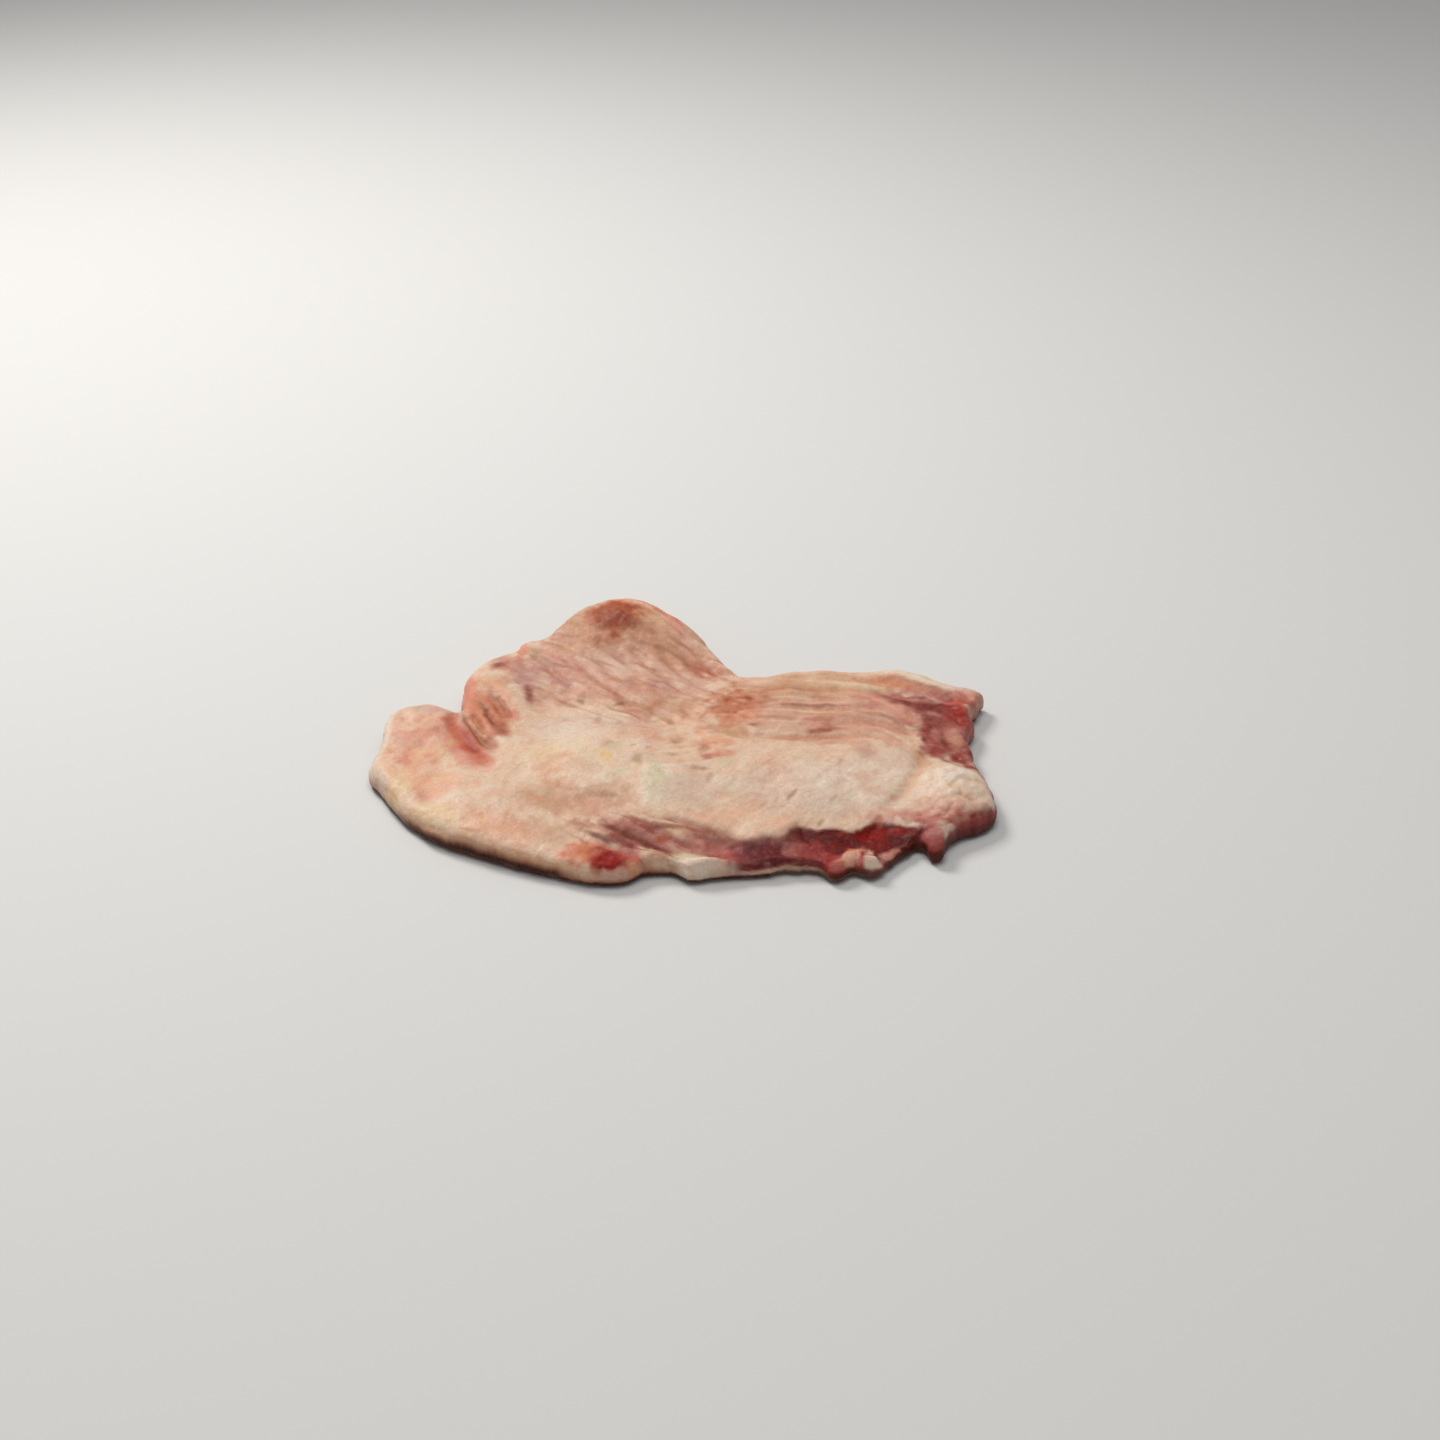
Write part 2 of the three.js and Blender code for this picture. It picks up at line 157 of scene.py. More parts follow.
@dataclass(frozen=True)
class Line:
    """A smooth line through flat points, as evenly spaced short segments.

    Attributes:
        points: The places that the line passes through.
        closed: Whether it runs back to its first place.
        samples: How many segments the finished line has.
        places: The finished line.
    """

    FINE_STEPS = 24  # places between two points before they are spaced evenly
    CHUNK = 2_000_000  # how many pairs of point and segment are measured at once

    points: tuple[Place, ...]
    closed: bool
    samples: int
    places: Array = field(init=False, compare=False)

    def __post_init__(self) -> None:
        """Works the line out: a centripetal Catmull-Rom curve, sampled finely, then evenly by arc length."""
        p = np.asarray(self.points, dtype=float)
        if self.closed:
            before, after, after2 = np.roll(p, 1, 0), np.roll(p, -1, 0), np.roll(p, -2, 0)
            start = p
        else:
            ends = np.vstack([2 * p[0] - p[1], p, 2 * p[-1] - p[-2]])
            before, start, after, after2 = ends[:-3], ends[1:-2], ends[2:-1], ends[3:]
        spans = ((before, start), (start, after), (after, after2))
        d0, d1, d2 = (np.sqrt(np.linalg.norm(b - a, axis=1))[:, None] for a, b in spans)
        leave = ((start - before) / d0 - (after - before) / (d0 + d1) + (after - start) / d1) * d1
        arrive = ((after - start) / d1 - (after2 - start) / (d1 + d2) + (after2 - after) / d2) * d1
        t = np.linspace(0, 1, self.FINE_STEPS, endpoint=False)[None, :, None]
        fine = (
            (2 * t**3 - 3 * t**2 + 1) * start[:, None]
            + (t**3 - 2 * t**2 + t) * leave[:, None]
            + (3 * t**2 - 2 * t**3) * after[:, None]
            + (t**3 - t**2) * arrive[:, None]
        ).reshape(-1, 2)
        fine = np.vstack([fine, fine[:1] if self.closed else p[-1:]])
        run = np.concatenate([[0], np.cumsum(np.linalg.norm(np.diff(fine, axis=0), axis=1))])
        wanted = np.linspace(0, run[-1], self.samples + 1)
        even = np.stack([np.interp(wanted, run, fine[:, n]) for n in range(2)], axis=1)
        object.__setattr__(self, "places", even[:-1] if self.closed else even)

    def with_places(self, places: Array) -> "Line":
        """The same line with its finished places moved.

        Args:
            places: Where they move to.

        Returns:
            The moved line.
        """
        moved = Line(self.points, self.closed, self.samples)
        object.__setattr__(moved, "places", places)
        return moved

    def nearest(self, x: Array, y: Array) -> dict[str, Array]:
        """The nearest place on the line to each point, by projection onto every segment.

        Args:
            x: Each point's X.
            y: Each point's Y.

        Returns:
            By name: distance, foot, which is the nearest place, side, which is 1 to the left of the line,
            and along, which is the share of the way.
        """
        a = self.places if self.closed else self.places[:-1]
        b = np.roll(self.places, -1, 0) if self.closed else self.places[1:]
        d = b - a
        length2 = np.einsum("ij,ij->i", d, d)
        flat = np.stack([np.ravel(x), np.ravel(y)], axis=1)
        found = {"distance": [], "foot": [], "side": [], "along": []}
        chunk = max(1, self.CHUNK // len(a))
        for start in range(0, len(flat), chunk):
            way = flat[start : start + chunk, None] - a[None]
            t = np.clip(np.einsum("ijk,jk->ij", way, d) / length2, 0, 1)
            gap = way - t[..., None] * d[None]
            distance2 = np.einsum("ijk,ijk->ij", gap, gap)
            best = np.argmin(distance2, axis=1)
            rows = np.arange(len(best))
            found["distance"].append(np.sqrt(distance2[rows, best]))
            found["foot"].append(a[best] + t[rows, best, None] * d[best])
            cross = d[best, 0] * way[rows, best, 1] - d[best, 1] * way[rows, best, 0]
            found["side"].append(np.sign(cross))
            found["along"].append((best + t[rows, best]) / len(a))
        shape = np.shape(x)
        joined = {name: np.concatenate(parts) for name, parts in found.items()}
        joined["foot"] = joined["foot"].reshape(*shape, 2)
        return {name: value if name == "foot" else value.reshape(shape) for name, value in joined.items()}


@dataclass(frozen=True)
class Oval:
    """A turned ellipse seen from above, the base of mounds, lifts and patches of tissue.

    Attributes:
        at: Its centre.
        reach: Its half lengths along and across.
        turn: Its turn from +X, in degrees.
    """

    at: Place
    reach: Place
    turn: float = 0.0

    def radius(self, x: Array, y: Array) -> Array:
        """The share of its reach at which each point lies: 0 at the centre, 1 on the ellipse.

        Args:
            x: Each point's X.
            y: Each point's Y.

        Returns:
            One share for each point.
        """
        a = math.radians(self.turn)
        along = (x - self.at[0]) * math.cos(a) + (y - self.at[1]) * math.sin(a)
        across = (y - self.at[1]) * math.cos(a) - (x - self.at[0]) * math.sin(a)
        return np.hypot(along / self.reach[0], across / self.reach[1])


@dataclass(frozen=True)
class Mound(Oval):
    """A rounded rise of the face, (1 - r^2)^2 of its full height at the share r of its reach.

    Attributes:
        rise: Its full height.
    """

    rise: float = 1.0

    def height(self, x: Array, y: Array) -> Array:
        """The mound's height at each point."""
        return self.rise * np.clip(1 - self.radius(x, y) ** 2, 0, 1) ** 2


class Tissue(Enum):
    """The kinds of tissue that show, with their colours under plain light; the near-black darkest lean is
    painted shadow and shade, not a tissue's own colour.
    """

    CREAM_FAT = (231, 200, 170)
    WHITE_FAT = (236, 219, 196)
    GREY_FAT = (219, 193, 172)
    YELLOW_FAT = (230, 198, 146)
    PEACH_FAT = (234, 174, 140)
    GREEN_FAT = (212, 200, 164)
    SHELL_FAT = (228, 184, 162)
    PINK_FILM = (210, 154, 130)
    CORAL_FILM = (222, 142, 116)
    BLUSH_FILM = (204, 138, 122)
    LILAC_FILM = (186, 136, 132)
    ROSE_FILM = (192, 120, 100)
    TAN_FILM = (200, 148, 112)
    SIENNA_FILM = (172, 116, 86)
    OLIVE_FILM = (158, 126, 92)
    ORANGE_LEAN = (202, 120, 84)
    SALMON_LEAN = (208, 108, 84)
    BLUSH_LEAN = (176, 110, 98)
    ROSE_LEAN = (170, 80, 74)
    CRIMSON_LEAN = (146, 54, 52)
    RUST_LEAN = (162, 74, 40)
    BROWN_LEAN = (126, 64, 36)
    PALE_LEAN = (158, 88, 72)
    RED_LEAN = (152, 42, 34)
    MAUVE_LEAN = (132, 58, 52)
    PLUM_LEAN = (100, 40, 44)
    DULL_LEAN = (108, 56, 44)
    # painted shadow and shade: near-black, laid where the piece's foot and front wall lie in shadow
    DARK_LEAN = (50, 20, 10)
    MAROON_LEAN = (92, 10, 8)
    BLOOD = (146, 12, 6)

    @property
    def leanness(self) -> float:
        """How much of the tissue is wet lean meat, from 0 for fat to 1."""
        return {"FAT": 0.0, "FILM": 0.35, "LEAN": 0.8}.get(self.name.rsplit("_", 1)[-1], 1.0)


@dataclass(frozen=True)
class Crease:
    """A groove of the upper face that follows a line.

    Attributes:
        path: The places that it follows.
        width: Half its width.
        depth: Its depth in the middle.
        tissue: What is laid along its bottom, the tissue there and partly painted shade, or None where it
            looks like the face beside it.
        tint: How strongly that shows, from 0 to 1.
        span: The shares of the path between which it shows.
    """

    path: tuple[Place, ...]
    width: float
    depth: float
    tissue: Tissue | None = None
    tint: float = 0.5
    span: Place = (0.0, 1.0)

    def profile(self, x: Array, y: Array) -> Array:
        """Its share of depth: a bell across the line, times the root of a half sine along it to fade out.

        Args:
            x: Each point's X.
            y: Each point's Y.

        Returns:
            One share for each point.
        """
        near = Line(self.path, False, PATH_SAMPLES).nearest(x, y)
        share = np.clip((near["along"] - self.span[0]) / (self.span[1] - self.span[0]), 0, 1)
        return np.sqrt(np.abs(np.sin(math.pi * share))) * np.exp(-((near["distance"] / self.width) ** 2))


@dataclass(frozen=True)
class Fan:
    """Creases side by side between a first and a last line: pleats, or bundles of fibres.

    Attributes:
        first: The places that the first crease follows.
        last: The places that the last crease follows.
        count: How many creases there are.
        width: Half the width of each.
        depth: The depth of the deepest.
        tissue: What is laid along their bottoms, the tissue there and partly painted shade.
        tint: How strongly that shows, from 0 to 1.
        gap_unevenness: How uneven the gaps between them are, as a share of a gap.
        end_unevenness: The largest share of a crease that is left out at an end.
        depth_unevenness: The largest share of the depth that a crease lacks.
    """

    first: tuple[Place, ...]
    last: tuple[Place, ...]
    count: int
    width: float
    depth: float
    tissue: Tissue
    tint: float = 0.5
    gap_unevenness: float = 0.7
    end_unevenness: float = 0.3
    depth_unevenness: float = 0.5

    def creases(self) -> list[Crease]:
        """The fan's creases, each a blend of the first and the last line by its place in the fan.

        Returns:
            The creases, from the first to the last.
        """
        a, b = np.asarray(self.first), np.asarray(self.last)
        made = []
        for k in range(self.count):
            share = (k + self.gap_unevenness * (scatter(k, self.count) - 0.5)) / (self.count - 1)
            starts, stops = (self.end_unevenness * scatter(self.count, n) for n in (k, k + self.count))
            span = (starts, 1 - stops)
            depth = self.depth * (1 - self.depth_unevenness * scatter(k, k))
            path = tuple(map(tuple, a + (b - a) * share))
            made.append(Crease(path, self.width, depth, self.tissue, self.tint, span))
        return made


OUTLINE: tuple[Place, ...] = (
    (-108.6, -24), (-104, -32), (-98.5, -41), (-92, -50.5), (-82, -60), (-68, -67.5), (-52, -75),
    (-37, -80.5), (-25, -83.5), (-18, -82.5), (-11, -78), (-3, -78), (3, -81.4), (12, -79.8), (22, -79),
    (33, -77), (43, -77.5), (49, -81.8), (55.5, -77.6), (61.5, -79), (65, -75), (71, -70.5),
    (75.5, -65), (78.5, -65), (80.5, -70.2), (84, -70), (86, -64), (90.5, -59), (98.5, -54.8), (104.2, -49.4),
    (105, -40), (102, -26), (100.5, -12), (100.6, -3), (103.3, 4), (103, 11), (106, 18), (108.6, 26),
    (98, 31), (88, 37.8), (78, 42.2), (66, 41.6), (50, 42.2), (38, 41.8), (28, 38), (21, 39), (16, 45.4),
    (11, 55.4), (5, 65.2), (-3, 74), (-11.5, 82.2), (-20, 87.4), (-31, 86.4), (-40, 80.6), (-47, 73.2),
    (-54, 66.4), (-60, 64.4), (-64.5, 62.4), (-66.3, 56.6), (-72.2, 53), (-78.4, 45.4), (-82.2, 35.4),
    (-81.8, 24), (-81.8, 13), (-85.5, 15), (-92.5, 19.2), (-100, 17.8), (-106, 12.4), (-107.3, 2),
    (-107, -13),
)


@dataclass
class JowlForm:
    """The form of the piece: thickness, mounds, lifts, creases, edges and the ledge of the fat.

    Attributes:
        slab_thickness: Thickness before mounds and creases.
        rim_height: Height of the outline's rim above the under face.
        edge_rounding: Radius by which the upper face's nodes move out at the edge.
        crisp_edge: How far in from the outline a plain cut edge rises.
        foot_rounding: How far in from the outline the under face rises to the rim.
        edge_fullness: The edge's power, 2 for a circle and more for a squarer edge.
        least_thickness: Of what lies above the rim.
        waves: How many waves a swelling sums.
        wave_unevenness: How much longer than its length a wave may be.
        swellings: Length and rise of each set of slow random heights.
        ledge_path: Where the fat layer ends, from left to right.
        ledge_samples: Places on that line.
        ledge_drop: How much lower the bare lean lies.
        ledge_softness: The width of the step down.
        ledge_fades: Lengths over which the step fades at its left and right end.
        ledge_rag: Length and reach of the step's uneven bays.
        mounds: Rises of the upper face.
        lifts: Rises of both faces.
        full_edges: Where the edge is fuller than crisp_edge, and by how much.
        single_creases: Creases that lie alone.
        fans: Creases that lie side by side.
    """

    slab_thickness: float = 8.2
    rim_height: float = 2.7
    edge_rounding: float = 5.0
    crisp_edge: float = 3.4
    foot_rounding: float = 3.2
    edge_fullness: float = 2.4
    least_thickness: float = 1.4
    waves: int = 6
    wave_unevenness: float = 0.6
    swellings: tuple[Place, ...] = ((44, 0.7), (19, 0.4), (10, 0.16))
    ledge_path: tuple[Place, ...] = (
        (-14, -60), (6, -63), (16, -65.5), (24, -68.5), (31, -67), (36, -62.5), (46, -61), (56, -61),
        (61, -58.5), (68, -57.5), (75, -61), (88, -58),
    )
    ledge_samples: int = 48
    ledge_drop: float = 2.6
    ledge_softness: float = 9.0
    ledge_fades: Place = (32.0, 12.0)
    ledge_rag: Place = (9.0, 0.9)
    mounds: tuple[Mound, ...] = (
        Mound((-8, -28), (92, 46), 2, 4.4),  # fat body
        Mound((-62, -50), (42, 22), -28, 2.4),  # front left shoulder
        Mound((-95, -8), (17, 30), 0, 1.6),  # round lobe
        Mound((-67, 28), (18, 36), 14, 2.2),  # pleated shoulder
        Mound((-24, 78), (36, 22), -6, 2.6),  # flap crest
        Mound((62, 22), (58, 24), -4, 1.2),  # back band
        Mound((91, -38), (17, 23), 8, 4.6),  # corner lump
        Mound((42, -34), (36, 26), 0, 1.6),  # fat pad
        Mound((60.3, -76), (4, 5.5), 10, 2.4),  # tag of fat
        Mound((52.5, -75.5), (3.6, 8), -26, 2.2),  # long tag
        Mound((82, -66), (4.5, 8), 0, 2.2),  # lean tag
        Mound((10, -79), (14, 5.5), 2, 2.4),  # strip of fat on the front edge
        Mound((36, -76), (15, 4.5), -2, 1.6),  # second strip
        Mound((86, 35), (25, 7), -22, 0.8),  # rolled rim of the back band
    )
    lifts: tuple[Mound, ...] = (
        Mound((-25, 73), (52, 28), -6, 6.6),  # arched flap
        Mound((109, 30), (20, 13), -30, 0.8),  # curled back corner
        Mound((-109, 4), (9, 24), 0, 1.6),  # lifted lobe edge
    )
    full_edges: tuple[Mound, ...] = (
        Mound((-62, -66), (90, 40), -28, 3.0),  # fat side at the front left
        Mound((98, -46), (28, 26), 0, 2.2),  # corner lump
    )
    single_creases: tuple[Crease, ...] = (
        # its tan bottom is painted shade in the groove beside the corner lump
        Crease(((84, -12), (80, -26), (75, -38), (66, -52)), 2.6, 1.5, Tissue.TAN_FILM),
        Crease(
            ((-84.5, 9), (-81, -1), (-76.5, -9.5), (-71, -18.5), (-66, -28)),
            3.0, 1.5, Tissue.RUST_LEAN, 0.3,
        ),
        Crease(((-60, -34), (-38, -44), (-12, -48)), 8, 0.9),
        Crease(((-30, 12), (-4, 4), (18, -4), (50, -10)), 7, 1.1),
    )
    fans: tuple[Fan, ...] = (
        Fan(
            ((-80.2, 11), (-76.6, 2), (-72.3, -7), (-67.5, -14.5)),
            ((-69.5, 24), (-66, 18), (-62.8, 11), (-61, 3)),
            5, 1.2, 1.6, Tissue.RUST_LEAN, 0.62,
        ),
        Fan(
            ((-58, 60), (-51, 46), (-42, 32), (-30, 22)), ((-4, 67), (3, 56), (9, 45), (17, 34)),
            8, 1.8, 0.9, Tissue.SIENNA_FILM,
        ),
        Fan(
            ((20, 36), (50, 36), (76, 33), (98, 17)), ((12, -4), (42, -5), (66, -3), (82, -12)),
            6, 2, 1.1, Tissue.ORANGE_LEAN, 0.4,
        ),
        Fan(
            ((-34, -63), (-25, -68), (-16, -74), (-8, -77)), ((-6, -56), (4, -60), (14, -66), (22, -74)),
            4, 1.8, 1.1, Tissue.MAUVE_LEAN,
        ),
    )

    def creases(self) -> list[Crease]:
        """Every crease, single or in a fan."""
        return [*self.single_creases, *(crease for fan in self.fans for crease in fan.creases())]

    def swelling(self, x: Array, y: Array, length: float) -> Array:
        """Slow random heights: the sum of waves about one length long that run in all directions.

        Args:
            x: Each point's X.
            y: Each point's Y.
            length: The length of the shortest wave.

        Returns:
            Heights, mostly from -1 to 1.
        """
        total = np.zeros_like(x)
        for k in range(self.waves):
            angle = k * GOLDEN_ANGLE + length
            own_length = length * (1 + self.wave_unevenness * scatter(k, length))
            way = x * math.cos(angle) + y * math.sin(angle)
            total += np.sin(2 * math.pi * (way / own_length + scatter(length, k)))
        return total / math.sqrt(2 * self.waves)

    def lift(self, x: Array, y: Array) -> Array:
        """How far the piece stands clear of the resting plane: the largest of its lifts."""
        return np.max([lift.height(x, y) for lift in self.lifts], axis=0)

    def below_ledge(self, x: Array, y: Array, softness: Array | float) -> Array:
        """The share by which each point lies on the bare lean in front of the end of the fat layer.

        Args:
            x: Each point's X.
            y: Each point's Y.
            softness: The width over which the share changes.

        Returns:
            Shares from 0 to 1.
        """
        near = Line(self.ledge_path, False, self.ledge_samples).nearest(x, y)
        length, reach = self.ledge_rag
        gap = reach * self.swelling(x, y, length) - near["side"] * near["distance"]
        in_front = smoothstep(-softness / 2, softness / 2, gap)
        start, end = self.ledge_path[0][0], self.ledge_path[-1][0]
        left, right = self.ledge_fades
        return in_front * (smoothstep(start, start + left, x) * smoothstep(end, end - right, x))

    def rounded_rise(self, inset: Array, radius: Array | float) -> Array:
        """The share of full height at a distance in from the outline, along a squarish quarter circle."""
        left = 1 - np.clip(inset / radius, 0, 1)
        return (1 - left**self.edge_fullness) ** (1 / self.edge_fullness)

    def edge_radius(self, x: Array, y: Array) -> Array:
        """How far in from the outline the upper face rises: less at the cuts, more where fat rolls over."""
        return self.crisp_edge + sum(edge.height(x, y) for edge in self.full_edges)

    def upper(self, x: Array, y: Array, inset: Array, relief: Array) -> Array:
        """Heights of the upper face: lift, rim, and the thickness above the rim times the edge's rise.

        Args:
            x: Each point's X.
            y: Each point's Y.
            inset: Each point's distance in from the outline.
            relief: Fine relief to add to the thickness.

        Returns:
            Heights above the resting plane.
        """
        thickness = self.slab_thickness + sum(mound.height(x, y) for mound in self.mounds)
        thickness += sum(rise * self.swelling(x, y, length) for length, rise in self.swellings)
        thickness -= self.ledge_drop * self.below_ledge(x, y, self.ledge_softness)
        thickness -= sum(crease.depth * crease.profile(x, y) for crease in self.creases())
        body = np.maximum(thickness + relief - self.rim_height, self.least_thickness)
        return self.lift(x, y) + self.rim_height + body * self.rounded_rise(inset, self.edge_radius(x, y))

    def under(self, x: Array, y: Array, inset: Array) -> Array:
        """Heights of the under face: the lift, and the foot's rounded rise up to the rim."""
        return self.lift(x, y) + self.rim_height * (1 - self.rounded_rise(inset, self.foot_rounding))


@dataclass
class Sheet:
    """A square grid seen from above and cut along the outline, from which both faces are made.

    Attributes:
        outline: The line that it is cut along.
        step: Distance between its nodes.
        relax_rounds: How often its nodes near the outline are evened out.
        relax_steps: How near those lie, in steps.
        arc_stretch: An edge's arc length over its radius, so that its nodes are evenly spread.
        kept: Which cells lie inside.
        x: First coordinate of each node.
        y: Second coordinate.
        distance: Each node's distance from the outline.
        foot: The place on the outline that is nearest to each node.
        used: Which nodes have a kept cell.
        on_edge: Which nodes lie on the outline.
    """

    outline: Line
    step: float = 0.6
    relax_rounds: int = 12
    relax_steps: float = 3.0
    arc_stretch: float = 1.35
    kept: Array = field(init=False)
    x: Array = field(init=False)
    y: Array = field(init=False)
    distance: Array = field(init=False)
    foot: Array = field(init=False)
    used: Array = field(init=False)
    on_edge: Array = field(init=False)

    def __post_init__(self) -> None:
        """Cuts the grid and bends it to the outline."""
        low = self.outline.places.min(0) - self.step
        high = self.outline.places.max(0) + self.step
        counts = np.ceil((high - low) / self.step).astype(int)
        cells = [low[n] + (np.arange(counts[n]) + 0.5) * self.step for n in range(2)]
        near = self.outline.nearest(*np.meshgrid(*cells, indexing="ij"))
        self.kept = self.without_corner_contacts(near["side"] > 0)
        padded = np.pad(self.kept, 1).astype(int)
        around = padded[:-1, :-1] + padded[1:, :-1] + padded[:-1, 1:] + padded[1:, 1:]
        self.used = around > 0
        self.on_edge = self.used & (around < 4)
        nodes = [low[n] + np.arange(counts[n] + 1) * self.step for n in range(2)]
        self.x, self.y = np.meshgrid(*nodes, indexing="ij")
        near = self.outline.nearest(self.x, self.y)
        self.distance, self.foot = near["distance"], near["foot"]
        self.relax()

    @staticmethod
    def without_corner_contacts(kept: Array) -> Array:
        """The kept cells without those that touch another cell only at a corner.

        Args:
            kept: Which cells are kept.

        Returns:
            Which of them stay.
        """
        kept = kept.copy()
        for _ in range(2):
            a, b, c, d = kept[:-1, :-1], kept[1:, :-1], kept[:-1, 1:], kept[1:, 1:]
            rising = a & d & ~b & ~c
            falling = b & c & ~a & ~d
            kept[1:, 1:] &= ~rising
            kept[1:, :-1] &= ~falling
        return kept

    @staticmethod
    def neighbour_mean(values: Array, weight: Array) -> Array:
        """The mean of each node's four neighbours, counting only those with a weight.

        Args:
            values: A value for each node.
            weight: Whether each node counts.

        Returns:
            One mean for each node.
        """
        v, w = np.pad(values * weight, 1), np.pad(weight.astype(float), 1)
        total = v[2:, 1:-1] + v[:-2, 1:-1] + v[1:-1, 2:] + v[1:-1, :-2]
        count = w[2:, 1:-1] + w[:-2, 1:-1] + w[1:-1, 2:] + w[1:-1, :-2]
        return total / np.maximum(count, 1)

    def relax(self) -> None:
        """Draws edge nodes onto the outline and moves the nodes beside it half the way to their means."""
        band = self.used & (self.distance < self.relax_steps * self.step)
        self.x[self.on_edge], self.y[self.on_edge] = self.foot[self.on_edge].T
        for _ in range(self.relax_rounds):
            for values in (self.x, self.y):
                inner = self.neighbour_mean(values, self.used)
                rim = self.neighbour_mean(values, self.on_edge)
                mean = np.where(self.on_edge, rim, inner)
                values[band] += (mean - values)[band] / 2
            foot = self.outline.nearest(self.x[self.on_edge], self.y[self.on_edge])["foot"]
            self.x[self.on_edge], self.y[self.on_edge] = foot.T
        near = self.outline.nearest(self.x[band], self.y[band])
        self.distance[band], self.foot[band] = near["distance"], near["foot"]
        self.distance[self.on_edge] = 0

    def placed(self, rounding: float) -> tuple[Array, Array, Array]:
        """Where one face's nodes lie: those near the outline move out along a quarter circle.

        Args:
            rounding: The edge's radius on this face.

        Returns:
            First coordinates, second coordinates, and distances in from the outline.
        """
        band = rounding * self.arc_stretch
        on_arc = rounding * (1 - np.cos(math.pi / 2 * np.minimum(self.distance / band, 1)))
        beyond = self.distance - (band - rounding) * (1 - smoothstep(band, 3 * band, self.distance))
        inset = np.where(self.distance < band, on_arc, beyond)
        share = inset / np.maximum(self.distance, 1e-9)
        x = self.foot[..., 0] + (self.x - self.foot[..., 0]) * share
        y = self.foot[..., 1] + (self.y - self.foot[..., 1]) * share
        return x, y, inset


class Grain(Enum):
    """Which way the fibres of a stretch of tissue run."""

    STRAIGHT = "straight"
    BENT_DOWN = "bent down towards the lean end"


@dataclass(frozen=True)
class Streaks:
    """Long thin streaks that follow the fibres of one stretch of the upper face, coloured with their relief:
    paler ridges, partly painted highlight, and darker troughs and folds, partly painted shade.

    Attributes:
        region: Where they show.
        turn: The way they run, in degrees from +X.
        spacing: Across them.
        length: Along them.
        dark: What shows in their troughs, partly as painted shade.
        light: What shows on their ridges, partly as painted highlight.
        strength: Of their colours, from 0 to 1.
        rise: Of their ridges.
        folds: How deep the thin folds among them are.
        grain: Whether they bend.
        bend_from: Where they start to bend.
        bend: How fast they bend.
        fold_width: Of the thin dark folds among them, as a share of their height.
    """

    SWAY_ALONG = (2.5, 17)  # reach and length of the slow noise that moves the fibres
    SWAY_ACROSS = (1.3, 11)
    FOLD_SPACING = 1.6  # in spacings of the ridges

    region: Oval
    turn: float
    spacing: float
    length: float
    dark: Tissue
    light: Tissue
    strength: float
    rise: float
    folds: float = 0.5
    grain: Grain = Grain.STRAIGHT
    bend_from: float = 50.0
    bend: float = 0.0175
    fold_width: float = 0.16

    def value(self, x: Array, y: Array, noise: GradientNoise, layer: float) -> Array:
        """Noise stretched along the fibres, from about -1 in the troughs and thin folds to 1 on the ridges.

        Args:
            x: Each point's X.
            y: Each point's Y.
            noise: The noise to stretch.
            layer: The height at which the noise is cut, so that no two stretches look alike.

        Returns:
            One value for each point.
        """
        if self.grain is Grain.BENT_DOWN:
            y = y + self.bend * np.maximum(x - self.bend_from, 0) ** 2
        a = math.radians(self.turn)
        reach, size = self.SWAY_ALONG
        along = x * math.cos(a) + y * math.sin(a) + reach * noise.at(x / size, y / size, layer + 40)
        reach, size = self.SWAY_ACROSS
        across = y * math.cos(a) - x * math.sin(a) + reach * noise.at(x / size, y / size, layer + 80)
        ridges = noise.layered(along / self.length, across / self.spacing, layer, 3)
        gap = self.FOLD_SPACING * self.spacing
        folds = noise.layered(along / self.length, across / gap, layer + 3.5, 2)
        return ridges - self.folds * np.exp(-((folds / self.fold_width) ** 2))


@dataclass(frozen=True)
class Patch:
    """A patch of one tissue with a soft uneven edge.

    Attributes:
        tissue: What shows in it.
        region: Its outline.
        strength: How fully it covers what lies below, from 0 to 1.
        core: The share of its reach over which it is at full strength.
    """

    tissue: Tissue
    region: Oval
    strength: float = 1.0
    core: float = 0.3


@dataclass(frozen=True)
class Mottle:
    """Two tissues that alternate in slow noise, one in its highs and one in its lows.

    Attributes:
        size: Lengths of the noise along and across the piece.
        layer: The height at which the noise is cut.
        span: The noise's values between which a tissue comes up.
        high: What shows in the highs.
        high_strength: How fully, from 0 to 1.
        low: What shows in the lows, on fat alone.
        low_strength: How fully, from 0 to 1.
    """

    size: Place
    layer: float
    span: Place
    high: Tissue
    high_strength: float
    low: Tissue
    low_strength: float


@dataclass(frozen=True)
class Specks:
    """Small spots of one tissue, scattered by a seeded draw over a region.

    Attributes:
        tissue: What shows in them.
        region: Where they lie.
        count: How many there are.
        size: Their mean half width.
        strength: Of their colour, from 0 to 1.
    """

    tissue: Tissue
    region: Oval
    count: int
    size: float
    strength: float

    def patches(self, seed: int) -> list[Patch]:
        """The spots as patches of uneven size, shape and turn, denser towards the middle of the region.

        Args:
            seed: Of the draw.

        Returns:
            One patch for each spot.
        """
        draw = np.random.default_rng(seed)
        a = math.radians(self.region.turn)
        made = []
        for _ in range(self.count):
            reach, angle = draw.random() ** 0.6, draw.uniform(0, 2 * math.pi)
            along = reach * math.cos(angle) * self.region.reach[0]
            across = reach * math.sin(angle) * self.region.reach[1]
            x = self.region.at[0] + along * math.cos(a) - across * math.sin(a)
            y = self.region.at[1] + along * math.sin(a) + across * math.cos(a)
            size = self.size * draw.uniform(0.6, 1.5)
            long = size * draw.uniform(1.0, 1.8)
            strength = self.strength * draw.uniform(0.5, 1.0)
            made.append(Patch(self.tissue, Oval((x, y), (long, size), draw.uniform(0, 180)), strength, 0.1))
        return made


